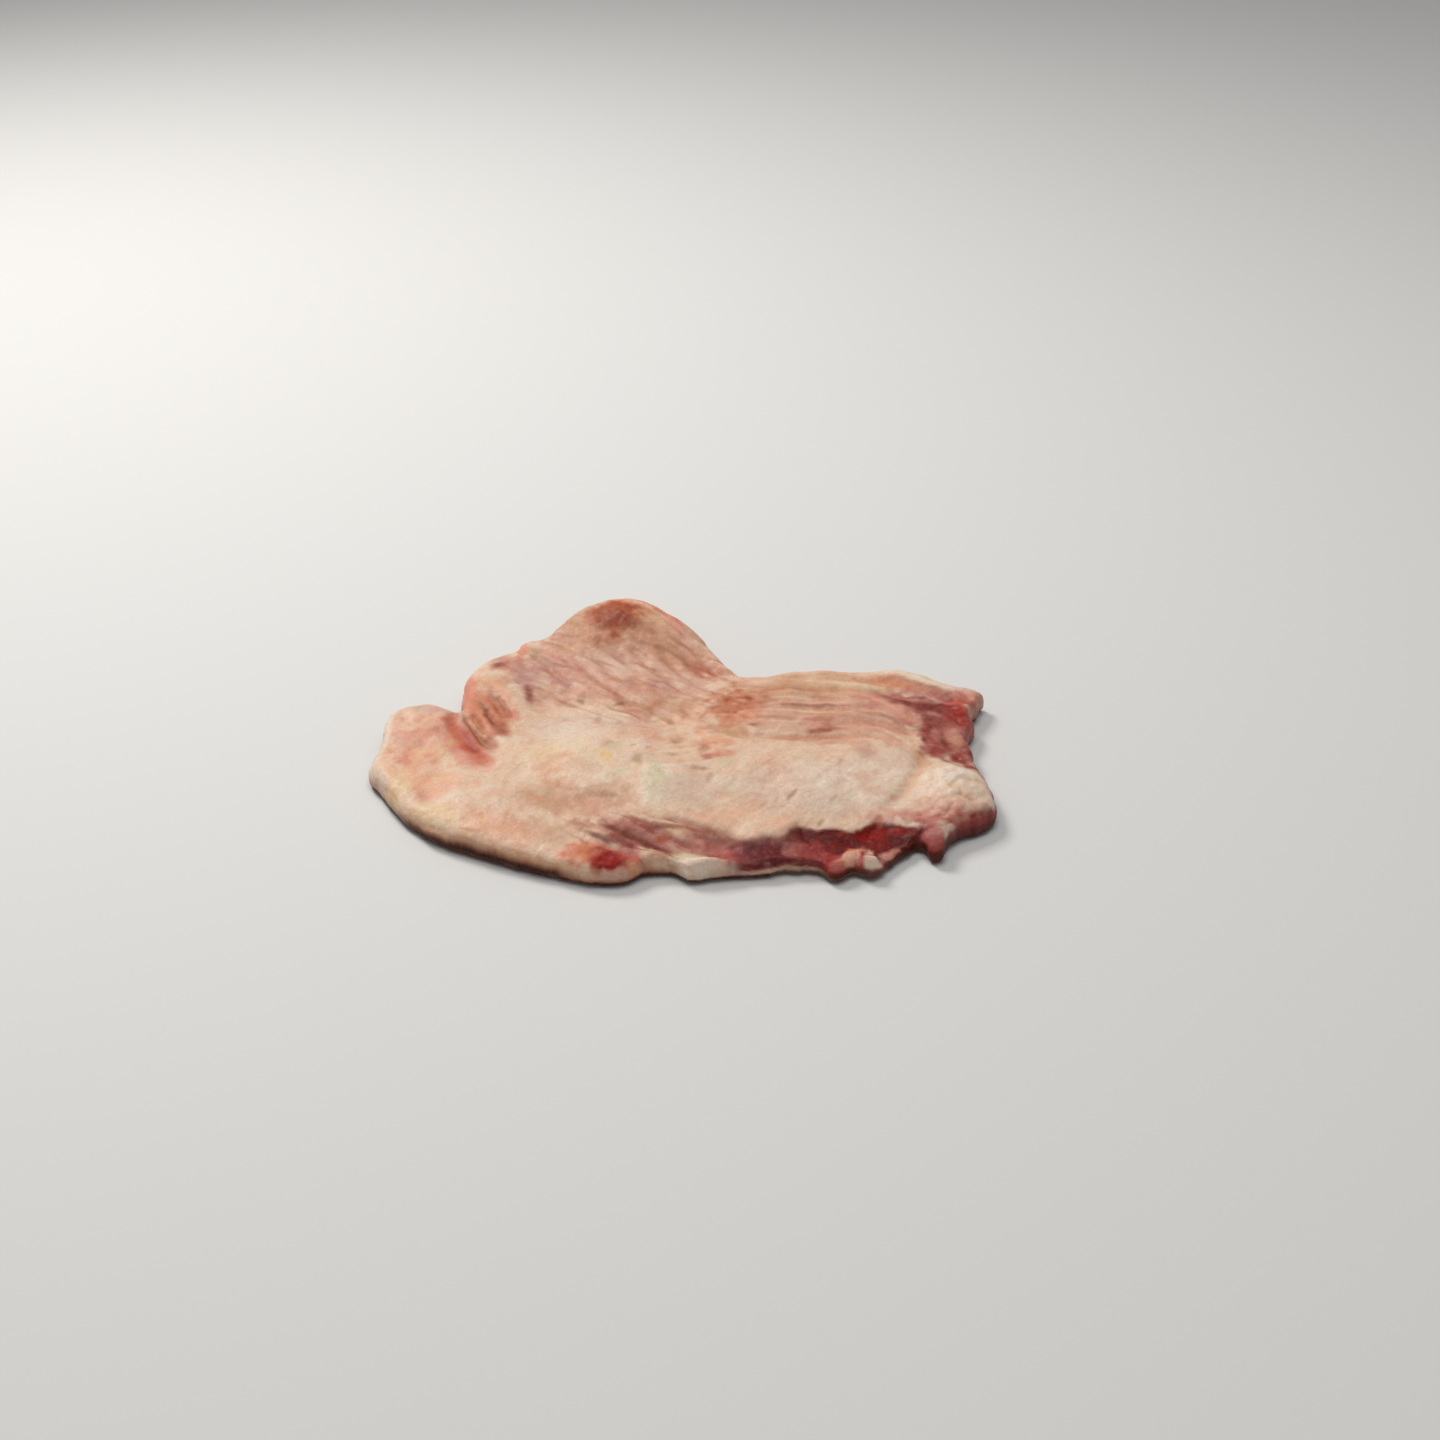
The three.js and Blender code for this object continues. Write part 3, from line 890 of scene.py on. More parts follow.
@dataclass(frozen=True)
class Stroke:
    """A thin band of one tissue along a line, such as a vein, a rim of fat or a fold's dark bottom, which is
    partly painted shade.

    Attributes:
        tissue: What shows in it.
        path: The places that it follows.
        width: Half its width.
        strength: How fully it covers what lies below, from 0 to 1.
    """

    tissue: Tissue
    path: tuple[Place, ...]
    width: float
    strength: float = 1.0


def patch(
    tissue: Tissue, x: float, y: float, along: float, across: float, turn: float = 0, strength: float = 1,
    core: float = 0.3,
) -> Patch:
    """A patch from its centre, half lengths, turn in degrees, strength and core."""
    return Patch(tissue, Oval((x, y), (along, across), turn), strength, core)


T = Tissue  # a short name for the lists that follow

BROAD_PATCHES: tuple[Patch, ...] = (
    # round lobe
    patch(T.PEACH_FAT, -92, -8, 20, 26, 0, 0.85, 0.5),
    patch(T.SHELL_FAT, -94, -6, 13, 18, 0, 0.5, 0.4),
    patch(T.ORANGE_LEAN, -90, -2, 8, 8, 10, 0.35, 0.1),
    patch(T.PINK_FILM, -97, -12, 11, 12, 0, 0.65),
    patch(T.CORAL_FILM, -91, -3, 10, 12, 0, 0.4, 0.2),
    patch(T.CORAL_FILM, -93, -20, 9, 8, 0, 0.75, 0.2),
    patch(T.YELLOW_FAT, -97, -36, 9, 12, -50, 0.55),
    patch(T.PEACH_FAT, -83, -36, 12, 10, 0, 0.7),
    # left half of the fat
    patch(T.GREY_FAT, -36, 3, 24, 13, 6, 0.8, 0.5),
    patch(T.WHITE_FAT, -34, 2, 16, 8, 6, 0.4, 0.3),
    patch(T.WHITE_FAT, -42, -14, 18, 15, 10, 0.6),
    patch(T.YELLOW_FAT, -44, -20, 17, 12, 14, 0.45),
    patch(T.CREAM_FAT, -66, -30, 20, 16, -20, 0.5),
    # partly painted shade: tan over a shallow hollow of the front left fat
    patch(T.TAN_FILM, -38, -46, 24, 11, -6, 0.75, 0.4),
    patch(T.PINK_FILM, -24, -55, 16, 8, -8, 0.6),
    patch(T.PEACH_FAT, -60, -62, 26, 8, -28, 0.7),
    patch(T.YELLOW_FAT, -80, -54, 16, 6, -38, 0.55),
    patch(T.TAN_FILM, -46, -64, 16, 7, -22, 0.5),
    # flap
    patch(T.PINK_FILM, -22, 46, 46, 36, -30, 0.85, 0.6),
    patch(T.LILAC_FILM, -59, 38, 10, 16, 20, 0.55),
    patch(T.BLUSH_FILM, -44, 44, 16, 10, -50, 0.6, 0.3),
    patch(T.TAN_FILM, -30, 52, 26, 10, -20, 0.6),
    patch(T.LILAC_FILM, -50, 44, 12, 6, -40, 0.45),
    patch(T.SHELL_FAT, -12, 40, 26, 9, -26, 0.45),
    patch(T.SHELL_FAT, -28, 50, 26, 11, -24, 0.5),
    patch(T.SHELL_FAT, -32, 41, 13, 7, -24, 0.6),
    patch(T.PEACH_FAT, -22, 82, 27, 9, -6, 0.8, 0.5),
    patch(T.TAN_FILM, -45, 68, 8, 9, 30, 0.6),
    patch(T.GREY_FAT, -24, 44, 20, 9, -20, 0.4),
    patch(T.TAN_FILM, -6, 52, 24, 9, -36, 0.6),
    patch(T.YELLOW_FAT, -13, 68, 8, 5, 0, 0.3),
    patch(T.LILAC_FILM, -9, 30, 9, 7, -20, 0.5),
    patch(T.PINK_FILM, -44, 22, 20, 11, 0, 0.6),
    patch(T.CREAM_FAT, -33, 14, 20, 8, 8, 0.6),
    # middle
    patch(T.TAN_FILM, -10, 17, 20, 10, 0, 0.7, 0.4),
    patch(T.PINK_FILM, -14, -6, 8, 20, 6, 0.5, 0.2),
    patch(T.CREAM_FAT, 2, -6, 6.5, 11, 0, 0.9, 0.4),
    patch(T.PEACH_FAT, 12, -12, 8, 5, -10, 0.95, 0.4),
    patch(T.PEACH_FAT, 6, -4, 2.5, 6, 0, 0.8, 0.4),
    patch(T.WHITE_FAT, -8, -38, 8, 14, 0, 0.9, 0.5),
    patch(T.GREEN_FAT, -9, -40, 6, 12, 0, 0.7),
    patch(T.CREAM_FAT, 22, -38, 12, 18, 0, 0.6),
    patch(T.GREY_FAT, 3, -44, 14, 12, 0, 0.75),
    # right half of the fat
    patch(T.GREY_FAT, 48, -42, 32, 18, -4, 0.7, 0.5),
    patch(T.WHITE_FAT, 44, -36, 30, 15, 6, 0.6, 0.4),
    patch(T.SHELL_FAT, 44, -32, 40, 18, 0, 0.3, 0.4),
    patch(T.CREAM_FAT, 36, -18, 24, 10, -6, 0.8),
    patch(T.WHITE_FAT, 54, -32, 26, 15, 0, 0.4, 0.3),
    patch(T.WHITE_FAT, 60, -42, 14, 9, 0, 0.3, 0.3),
    patch(T.TAN_FILM, 50, -9, 16, 5, -6, 0.5),
    patch(T.CREAM_FAT, 73, -12, 9, 12, 0, 0.7),
    patch(T.GREY_FAT, 74, -20, 10, 14, -20, 0.6),
    patch(T.LILAC_FILM, 63, -16, 5, 8, 0, 0.4),
    # back band
    patch(T.PINK_FILM, 46, 12, 44, 25, -4, 0.65, 0.6),
    patch(T.YELLOW_FAT, 54, 30, 26, 9, -2, 0.5, 0.4),
    patch(T.TAN_FILM, 36, 26, 26, 10, 0, 0.6),
    patch(T.CREAM_FAT, 58, 32, 14, 6, 0, 0.7),
    patch(T.ORANGE_LEAN, 18, 14, 11, 17, -8, 0.85, 0.4),
    patch(T.TAN_FILM, 15, -3, 12, 6, -24, 0.85, 0.4),
    patch(T.TAN_FILM, 44, 10, 22, 5, 0, 0.4),
    patch(T.ORANGE_LEAN, 79, 30.5, 15, 6, -16, 0.7, 0.4),
    patch(T.BLUSH_FILM, 96, 26, 12, 4, -24, 0.9, 0.5),
    patch(T.BLUSH_FILM, 68, 19, 11, 6, -30, 0.85, 0.4),
    patch(T.BLUSH_FILM, 77, 9, 12, 6, -42, 0.9, 0.4),
    # lean end
    patch(T.BLUSH_LEAN, 93.5, 0, 12, 27, 6, 0.9, 0.5),
    patch(T.MAUVE_LEAN, 86, 15, 15, 7.5, -24, 0.95, 0.5),
    patch(T.BLUSH_LEAN, 92, 23, 11, 4.5, -24, 0.95, 0.5),
    patch(T.MAUVE_LEAN, 92, 6, 10, 12, -60, 0.85, 0.5),
    patch(T.RED_LEAN, 98.5, 9, 6.5, 14, 14, 0.95, 0.5),
    patch(T.SALMON_LEAN, 102, 20, 4.5, 7, 0, 0.85, 0.4),
    patch(T.BLUSH_FILM, 105, 24, 5, 4, -20, 0.9, 0.5),
    patch(T.CRIMSON_LEAN, 87, -8, 6, 16, 4, 0.9, 0.5),
    patch(T.PALE_LEAN, 94, -9, 5, 9, 4, 0.8, 0.4),
    patch(T.CRIMSON_LEAN, 96, -21, 4.5, 12, 6, 0.9, 0.5),
    # painted shade: tan in the groove on the corner lump's left
    patch(T.TAN_FILM, 81.5, -20, 4, 12, 10, 0.6),
    # corner lump
    patch(T.CREAM_FAT, 88, -39, 14, 14, 10, 1.0, 0.7),
    patch(T.WHITE_FAT, 90, -36, 10, 8, 10, 0.45, 0.4),
    patch(T.PINK_FILM, 82, -52.5, 22, 7.5, 4, 0.95, 0.5),
    patch(T.ROSE_FILM, 82, -55.5, 19, 5, 4, 0.9, 0.4),
)

FINE_PATCHES: tuple[Patch, ...] = (
    # round lobe and crease
    patch(T.ROSE_FILM, -87, -43, 4, 6, 10, 0.65, 0.1),
    patch(T.PEACH_FAT, -102, -31, 6, 8, -50, 0.5, 0.3),
    patch(T.PINK_FILM, -78, -10, 9, 22, 28, 0.7, 0.4),
    patch(T.ROSE_FILM, -83.5, 4, 4, 11, 16, 0.9, 0.4),
    patch(T.RUST_LEAN, -83, 3, 2.2, 7, 18, 0.45, 0.2),
    patch(T.CORAL_FILM, -76, -12, 7.5, 20, 28, 0.95, 0.4),
    patch(T.SALMON_LEAN, -75, -12, 5, 16, 28, 0.95, 0.4),
    patch(T.CORAL_FILM, -69, -26, 6, 6, 30, 0.8, 0.2),
    # pleats
    patch(T.TAN_FILM, -70, 30, 9, 8, 30, 0.75, 0.4),
    patch(T.TAN_FILM, -74, 12, 7, 17, 20, 0.8, 0.4),
    patch(T.ORANGE_LEAN, -69.5, 8, 9, 22, 23, 0.8, 0.35),
    patch(T.ORANGE_LEAN, -78, 20, 5, 15, 10, 0.75, 0.3),
    patch(T.TAN_FILM, -71.5, -3, 4, 11, 26, 0.85, 0.4),
    patch(T.CORAL_FILM, -80, 27, 4, 14, 6, 0.9, 0.4),
    patch(T.SIENNA_FILM, -70.5, 8, 2, 12, 24, 0.7, 0.3),
    # partly painted shade: rust and brown darken the pleats' lower end
    patch(T.RUST_LEAN, -65, -1, 4, 10, 22, 0.6, 0.3),
    patch(T.BROWN_LEAN, -64, -4.5, 2.6, 6, 24, 0.35, 0.3),
    patch(T.SALMON_LEAN, -62, 9, 3, 6, 26, 0.6, 0.2),
    patch(T.PEACH_FAT, -76, 5.5, 1.6, 8, 24, 0.7, 0.3),
    # partly painted shade at the foot of the pleats
    patch(T.RUST_LEAN, -67, -10.5, 3.2, 7, 26, 0.75, 0.3),
    patch(T.CORAL_FILM, -70, 2, 2.4, 12, 24, 0.6, 0.3),
    # flap
    patch(T.ROSE_FILM, -68, 42, 9, 9, 20, 0.75, 0.2),
    patch(T.MAUVE_LEAN, -70, 43.5, 5, 3.4, 40, 0.75, 0.2),
    patch(T.PINK_FILM, -70, 50, 6, 6, 20, 0.7, 0.25),
    patch(T.LILAC_FILM, -60, 32, 5, 9, 12, 0.7, 0.2),
    patch(T.MAUVE_LEAN, -57.5, 23, 2.2, 7, 16, 0.85, 0.2),
    patch(T.CREAM_FAT, -70, 34, 6, 4, 30, 0.5, 0.3),
    patch(T.CORAL_FILM, -62.5, 57, 3, 12, 6, 0.85, 0.4),
    patch(T.ROSE_FILM, -62.5, 46, 2.4, 7, 6, 0.7, 0.2),
    patch(T.CORAL_FILM, -22, 83, 19, 4, -4, 0.5, 0.3),
    patch(T.TAN_FILM, -32, 68, 20, 15, 0, 0.9, 0.4),
    patch(T.ORANGE_LEAN, -29, 70, 14, 13, 0, 0.85, 0.4),
    patch(T.BROWN_LEAN, -30, 64, 9, 3.4, 0, 0.6, 0.3),
    patch(T.BROWN_LEAN, -27, 72, 5, 6, 20, 0.5, 0.2),
    patch(T.SIENNA_FILM, -17, 64, 7, 3, -16, 0.5, 0.3),
    patch(T.RUST_LEAN, -29, 71, 10, 11, 0, 0.95, 0.5),
    patch(T.BROWN_LEAN, -28, 68, 8, 7, 0, 0.5, 0.2),
    patch(T.BROWN_LEAN, -26, 66, 6, 4.5, 0, 0.5, 0.2),
    patch(T.RED_LEAN, -26, 66, 6, 4, 0, 0.35, 0.2),
    patch(T.TAN_FILM, -41, 61, 11, 5, 18, 0.8, 0.3),
    patch(T.CORAL_FILM, -6, 72, 4, 10, 28, 0.8, 0.3),
    patch(T.ROSE_LEAN, -3.6, 70, 1.8, 8, 32, 0.5, 0.2),
    patch(T.TAN_FILM, -10, 57, 12, 2.6, -18, 0.7, 0.3),
    patch(T.ROSE_FILM, 5.5, 42.5, 10, 5, -48, 0.9, 0.4),
    patch(T.RUST_LEAN, 4, 44, 8, 1.6, -50, 0.8, 0.3),
    patch(T.RUST_LEAN, 9, 40, 5, 1.2, -50, 0.6, 0.3),
    patch(T.PEACH_FAT, 7, 39.5, 2.2, 1.3, -50, 0.9, 0.3),
    patch(T.LILAC_FILM, -45, 32, 6, 4, 0, 0.7, 0.2),
    # middle
    patch(T.OLIVE_FILM, -38.5, 19, 1.9, 3, 10, 0.85, 0.2),
    patch(T.BROWN_LEAN, -24, 17.5, 4.5, 2, 24, 0.65, 0.1),
    patch(T.ROSE_FILM, -19, 12, 5, 2.4, 0, 0.65, 0.2),
    patch(T.OLIVE_FILM, -31, 6, 1.7, 3.4, 4, 0.45, 0.2),
    patch(T.OLIVE_FILM, -5, 5, 2.1, 4, -4, 0.6, 0.2),
    patch(T.ROSE_FILM, -14, 6, 2.4, 5.5, 0, 0.6, 0.2),
    patch(T.YELLOW_FAT, -26.5, -24, 3, 6.5, 8, 1.0, 0.4),
    # partly painted shadow: olive in a hollow of the fat
    patch(T.OLIVE_FILM, -26, -15.5, 3.6, 3, 0, 0.55, 0.2),
    patch(T.OLIVE_FILM, -16, -26.5, 2.4, 5.5, 10, 0.8, 0.2),
    patch(T.ROSE_FILM, -13, -17, 2.6, 5, 6, 0.7, 0.2),
    patch(T.OLIVE_FILM, -3.5, -14, 3.5, 3, 0, 0.5, 0.2),
    patch(T.OLIVE_FILM, -4, -23, 3, 2, 0, 0.55, 0.2),
    patch(T.SIENNA_FILM, 7.5, -18.5, 2.6, 3.6, 10, 0.75, 0.2),
    patch(T.ROSE_FILM, 8, -24, 4, 2.6, 6, 0.9, 0.3),
    patch(T.SALMON_LEAN, 14, -22.5, 5.5, 3.4, 6, 0.5, 0.3),
    patch(T.OLIVE_FILM, 5.5, -31.5, 5.5, 1.7, 0, 0.6, 0.2),
    patch(T.OLIVE_FILM, 9, -36, 1.4, 4, 0, 0.5, 0.2),
    patch(T.GREEN_FAT, 13.5, -28, 4, 3, 0, 0.7, 0.2),
    patch(T.OLIVE_FILM, -26, -45.5, 6, 2, -8, 0.65, 0.2),
    patch(T.OLIVE_FILM, -34, -41, 5, 1.4, -8, 0.45, 0.2),
    patch(T.CREAM_FAT, 0, -4, 4.5, 9, 0, 0.8, 0.3),
    patch(T.PEACH_FAT, 6, -5, 2.4, 6, 8, 0.8, 0.3),
    patch(T.PEACH_FAT, 12, -11.5, 5.5, 3, -10, 0.9, 0.3),
    # blotch between the flap and the back band
    patch(T.RUST_LEAN, 20, 20, 7, 5, -10, 0.5, 0.2),
    patch(T.BROWN_LEAN, 22, 20, 3, 2.8, 0, 0.6, 0.2),
    patch(T.BROWN_LEAN, 23.5, 0.5, 3.2, 1.6, 0, 0.5, 0.3),
    patch(T.ROSE_FILM, 27, 15, 3, 6, 0, 0.6, 0.2),
    # back band
    patch(T.PALE_LEAN, 50.5, 0.2, 8.5, 3.6, 12, 0.75, 0.3),
    patch(T.RUST_LEAN, 47, -2.4, 6, 1.6, 12, 0.7, 0.3),
    patch(T.ROSE_FILM, 46, 6, 10, 2, 2, 0.7, 0.3),
    patch(T.BROWN_LEAN, 46, 15.6, 16, 1.2, 0, 0.55, 0.4),
    # lean end
    patch(T.MAROON_LEAN, 87, 13, 8, 1.9, -6, 0.5, 0.2),
    patch(T.BLUSH_LEAN, 81, 7, 6, 4.5, -50, 0.7, 0.3),
    patch(T.PALE_LEAN, 94, -1, 5, 6, 10, 0.75, 0.3),
    patch(T.PALE_LEAN, 92, -13, 4, 4, 0, 0.8, 0.3),
    patch(T.BLUSH_FILM, 89, 9, 5, 1.8, -30, 0.55, 0.2),
    patch(T.BLUSH_FILM, 88, -3, 1.8, 5, 0, 0.5, 0.2),
    patch(T.BLOOD, 99, 12, 2.6, 7, 0, 0.7, 0.2),
    patch(T.SALMON_LEAN, 94, 18, 6, 1.6, -20, 0.6, 0.2),
    patch(T.RED_LEAN, 87, -16, 3, 5, 0, 0.7, 0.3),
    patch(T.BLUSH_FILM, 95, -5, 4, 7, 12, 0.75, 0.3),
    patch(T.TAN_FILM, 94.5, -8, 2.4, 4.5, 12, 0.7, 0.2),
    patch(T.LILAC_FILM, 84, 22, 12, 2.2, -26, 0.6, 0.3),
    patch(T.BLUSH_FILM, 79, 13, 6, 2, -40, 0.6, 0.3),
    # corner lump
    patch(T.RED_LEAN, 87, -58, 3.6, 3, 0, 0.85, 0.2),
    patch(T.ROSE_LEAN, 80, -57, 8, 2, -10, 0.6, 0.2),
    patch(T.BLOOD, 97, -55.5, 10, 3.2, 26, 0.9, 0.4),
    patch(T.MAROON_LEAN, 102.5, -51.5, 5, 3.4, 32, 0.9, 0.4),
    patch(T.CRIMSON_LEAN, 81.5, -65.5, 5, 8, 0, 0.9, 0.5),
    patch(T.BLUSH_LEAN, 80.5, -63, 2, 5, 10, 0.4, 0.2),
    patch(T.MAROON_LEAN, 99, -53.5, 8, 2.6, 30, 0.5, 0.2),
    # marks on the fat
    patch(T.OLIVE_FILM, 36.5, -45, 1.2, 3.6, -28, 0.85, 0.3),
    patch(T.OLIVE_FILM, 50, -47, 1.2, 5, -32, 0.6, 0.2),
    patch(T.OLIVE_FILM, 45, -58, 1.6, 3.2, -20, 0.7, 0.2),
    patch(T.ROSE_FILM, 65, -56, 2, 3.4, 0, 0.85, 0.2),
    patch(T.TAN_FILM, 70, -45, 1.8, 5, -20, 0.8, 0.2),
    # front edge
    patch(T.TAN_FILM, -22, -65, 20, 7, -14, 0.6, 0.3),
    patch(T.CORAL_FILM, -28, -76, 15, 8, -10, 0.8, 0.4),
    patch(T.ORANGE_LEAN, -28.5, -76.5, 11, 7, -10, 0.95, 0.3),
    patch(T.SALMON_LEAN, -18, -78, 8, 6, -10, 0.9, 0.3),
    patch(T.RED_LEAN, -24, -78.4, 6.8, 7.4, -6, 1.0, 0.35),
    patch(T.BLOOD, -23.2, -79.2, 4.6, 6.2, -6, 1.0, 0.55),
    patch(T.BLUSH_FILM, -16.5, -73, 6, 4, -14, 0.8, 0.3),
    patch(T.BLUSH_LEAN, -15, -65.5, 19, 7.5, -20, 0.85, 0.4),
    patch(T.PALE_LEAN, -18, -65.5, 14, 5, -26, 0.7, 0.3),
    patch(T.RUST_LEAN, -6.5, -66, 3.4, 3.4, -20, 0.85, 0.2),
    patch(T.DULL_LEAN, -21, -64.5, 12, 2.0, -32, 0.85, 0.3),
    patch(T.DULL_LEAN, -10.5, -69.6, 10, 2.8, -32, 1.0, 0.4),
    patch(T.DULL_LEAN, -27, -67, 9, 1.7, -32, 0.8, 0.3),
    patch(T.MAUVE_LEAN, -18, -70.4, 9, 1.8, -34, 0.85, 0.3),
    patch(T.MAUVE_LEAN, -13, -62, 7, 1.4, -26, 0.6, 0.3),
    patch(T.YELLOW_FAT, -2.6, -62.8, 3, 1.6, -10, 0.6, 0.3),
    patch(T.PLUM_LEAN, -4, -61, 7, 1.2, -8, 0.5, 0.3),
    patch(T.SIENNA_FILM, -7, -74.5, 5, 3, 0, 0.7, 0.3),
)

STROKES: tuple[Stroke, ...] = (
    Stroke(T.SALMON_LEAN, ((-83, 8), (-79.8, -1), (-76.5, -8), (-72.5, -15), (-68.5, -23)), 3.2, 0.85),
    Stroke(T.RUST_LEAN, ((-81, 2), (-76.8, -6.5), (-72.8, -13), (-69.5, -20)), 1.7, 0.7),
    Stroke(T.ROSE_LEAN, ((-80, 1), (-76.2, -7), (-72.4, -13.5), (-69.2, -20)), 0.9, 0.5),
    Stroke(T.RED_LEAN, ((-76, -9), (-72, -15), (-69, -21)), 0.9, 0.5),
    Stroke(T.ORANGE_LEAN, ((-73, -16), (-69.5, -20.5), (-66.5, -26)), 2.4, 0.6),
    # partly painted shade: brown lines along the bottoms of the pleats
    Stroke(
        T.BROWN_LEAN,
        ((-81, 13), (-78.3, 5.8), (-76.1, 0.7), (-72.2, -7.1), (-68.2, -13.8), (-65, -18)),
        0.9, 0.7,
    ),
    Stroke(T.BROWN_LEAN, ((-75.5, 18.8), (-71.7, 10.5), (-68.2, 2.9), (-66, -6.1)), 0.9, 0.6),
    Stroke(T.PEACH_FAT, ((-80.5, 34), (-75, 31), (-69, 24.5), (-63.5, 17.5), (-60, 10)), 1.5, 0.8),
    Stroke(T.SIENNA_FILM, ((-73, 24), (-68, 17), (-65, 10), (-63, 3)), 0.9, 0.7),
    Stroke(T.OLIVE_FILM, ((-58, 58), (-54, 50), (-49, 42)), 0.8, 0.75),
    Stroke(T.OLIVE_FILM, ((-50, 54), (-45, 46), (-41, 40)), 0.7, 0.5),
    Stroke(T.SIENNA_FILM, ((-40, 60), (-30, 57), (-21, 58)), 1.2, 0.6),
    Stroke(T.SIENNA_FILM, ((-22, 57.5), (-10, 54.5), (0, 49), (6, 44)), 1.2, 0.7),
    # partly painted highlight: a white line on the whitish fat along the back band's top edge
    Stroke(T.WHITE_FAT, ((64, 38.2), (72, 38.6), (78, 37.6), (85, 33.6), (93, 29), (104, 25.2)), 1.9, 1.0),
    Stroke(T.SIENNA_FILM, ((70, 35), (80, 33), (90, 27.5), (100, 23.5)), 1.2, 0.45),
    Stroke(T.SIENNA_FILM, ((60, 12.5), (69, 8.5), (76, 4), (81, -3)), 1.2, 0.8),
    Stroke(T.MAROON_LEAN, ((78, 18), (86, 13.5), (94, 12)), 1.4, 0.5),
    Stroke(T.BLUSH_FILM, ((70, 24), (80, 19), (92, 17)), 1.2, 0.7),
    Stroke(T.PEACH_FAT, ((56, 25), (67, 21), (76, 12), (84, 3)), 1.3, 0.6),
    Stroke(T.MAUVE_LEAN, ((67, 27), (75, 20), (84, 14), (94, 11)), 1.8, 0.8),
    Stroke(T.CREAM_FAT, ((25, -4), (34, -4.5), (43, -5)), 1.0, 0.8),
    Stroke(T.TAN_FILM, ((24, -8), (36, -8.5), (50, -9)), 1.3, 0.8),
    Stroke(T.CREAM_FAT, ((30, 20.5), (40, 21), (48, 20)), 1.0, 0.8),
    Stroke(T.CREAM_FAT, ((28, 11.5), (40, 12), (54, 11)), 1.1, 0.75),
    Stroke(T.CREAM_FAT, ((28, 3), (38, 3.4), (44, 8.4)), 1.0, 0.7),
    Stroke(T.RUST_LEAN, ((26, 26), (38, 26), (50, 25)), 1.2, 0.5),
    Stroke(T.RUST_LEAN, ((-9, -61.5), (2, -61), (12, -62.5)), 0.7, 0.7),
    Stroke(T.TAN_FILM, ((7, 2), (13, -3), (18, -8), (25, -12)), 1.5, 0.7),
    Stroke(T.CREAM_FAT, ((20, -14), (20, -28), (21, -44)), 1.2, 0.5),
)


class Paint:
    """The colours of one face while tissue is laid over it.

    Patches have uneven edges, because they are looked up at places that noise has moved.
    """

    WARP = 2.2  # how far noise moves the places
    EDGE_ROUGHNESS = 0.4  # how uneven a patch's radius is
    STROKE_DRIFT = 0.45  # how far strokes follow the moved places
    STROKE_ROUGHNESS = 0.35  # how uneven a stroke's width is

    def __init__(self, x: Array, y: Array, base: Tissue, noise: GradientNoise) -> None:
        """Covers the face with one tissue.

        Args:
            x: Each point's X.
            y: Each point's Y.
            base: The tissue that covers it.
            noise: What moves the patches' edges.
        """
        self.x, self.y = x, y
        self.u = x + self.WARP * noise.layered(x / 9, y / 9, 3.5, 3)
        self.v = y + self.WARP * noise.layered(x / 9, y / 9, 7.5, 3)
        self.rough = noise.layered(x / 4.5, y / 4.5, 11.5, 4)
        self.tone = np.broadcast_to(linear(base.value), (*x.shape, 3)).copy()
        self.lean = np.full_like(x, base.leanness)

    def lay(self, tissue: Tissue, mask: Array) -> None:
        """Lays a tissue over the face.

        Args:
            tissue: What is laid.
            mask: How fully it covers each point, from 0 to 1.
        """
        mask = np.clip(mask, 0, 1)
        self.tone += (linear(tissue.value) - self.tone) * mask[..., None]
        self.lean += (tissue.leanness - self.lean) * mask

    def lay_patches(self, patches: tuple[Patch, ...], share: Array | float = 1.0, drift: float = 1.0) -> None:
        """Lays patches in order.

        Args:
            patches: What to lay.
            share: A mask for all of them.
            drift: How far their places are moved by noise, as a share of its full reach.
        """
        x, y = self.x + drift * (self.u - self.x), self.y + drift * (self.v - self.y)
        for one in patches:
            radius = one.region.radius(x, y) * (1 + self.EDGE_ROUGHNESS * self.rough)
            self.lay(one.tissue, one.strength * (1 - smoothstep(one.core, 1.1, radius)) * share)

    def lay_strokes(self, strokes: tuple[Stroke, ...]) -> None:
        """Lays strokes in order, each a bell across its line that fades at its ends.

        Args:
            strokes: What to lay.
        """
        drift = self.STROKE_DRIFT
        x, y = self.x + drift * (self.u - self.x), self.y + drift * (self.v - self.y)
        for stroke in strokes:
            near = Line(stroke.path, False, PATH_SAMPLES).nearest(x, y)
            ends = np.sqrt(np.clip(np.sin(math.pi * near["along"]), 0, 1))
            reach = stroke.width * (1 + self.STROKE_ROUGHNESS * self.rough)
            bell = np.exp(-((near["distance"] / reach) ** 2))
            self.lay(stroke.tissue, stroke.strength * bell * ends)

    def lay_mottle(self, mottle: Mottle, noise: GradientNoise) -> None:
        """Lays a mottle's two tissues.

        Args:
            mottle: What to lay.
            noise: What shapes it.
        """
        along, across = mottle.size
        value = noise.layered(self.x / along, self.y / across, mottle.layer, 3)
        self.lay(mottle.high, smoothstep(*mottle.span, value) * mottle.high_strength)
        self.lay(mottle.low, smoothstep(*mottle.span, -value) * mottle.low_strength * (1 - self.lean))

    def deepen(self, amount: Array) -> None:
        """Raises the colours to powers: above 1 darkens and warms them, and below 1 pales them."""
        self.tone = self.tone ** np.exp(amount)[..., None]


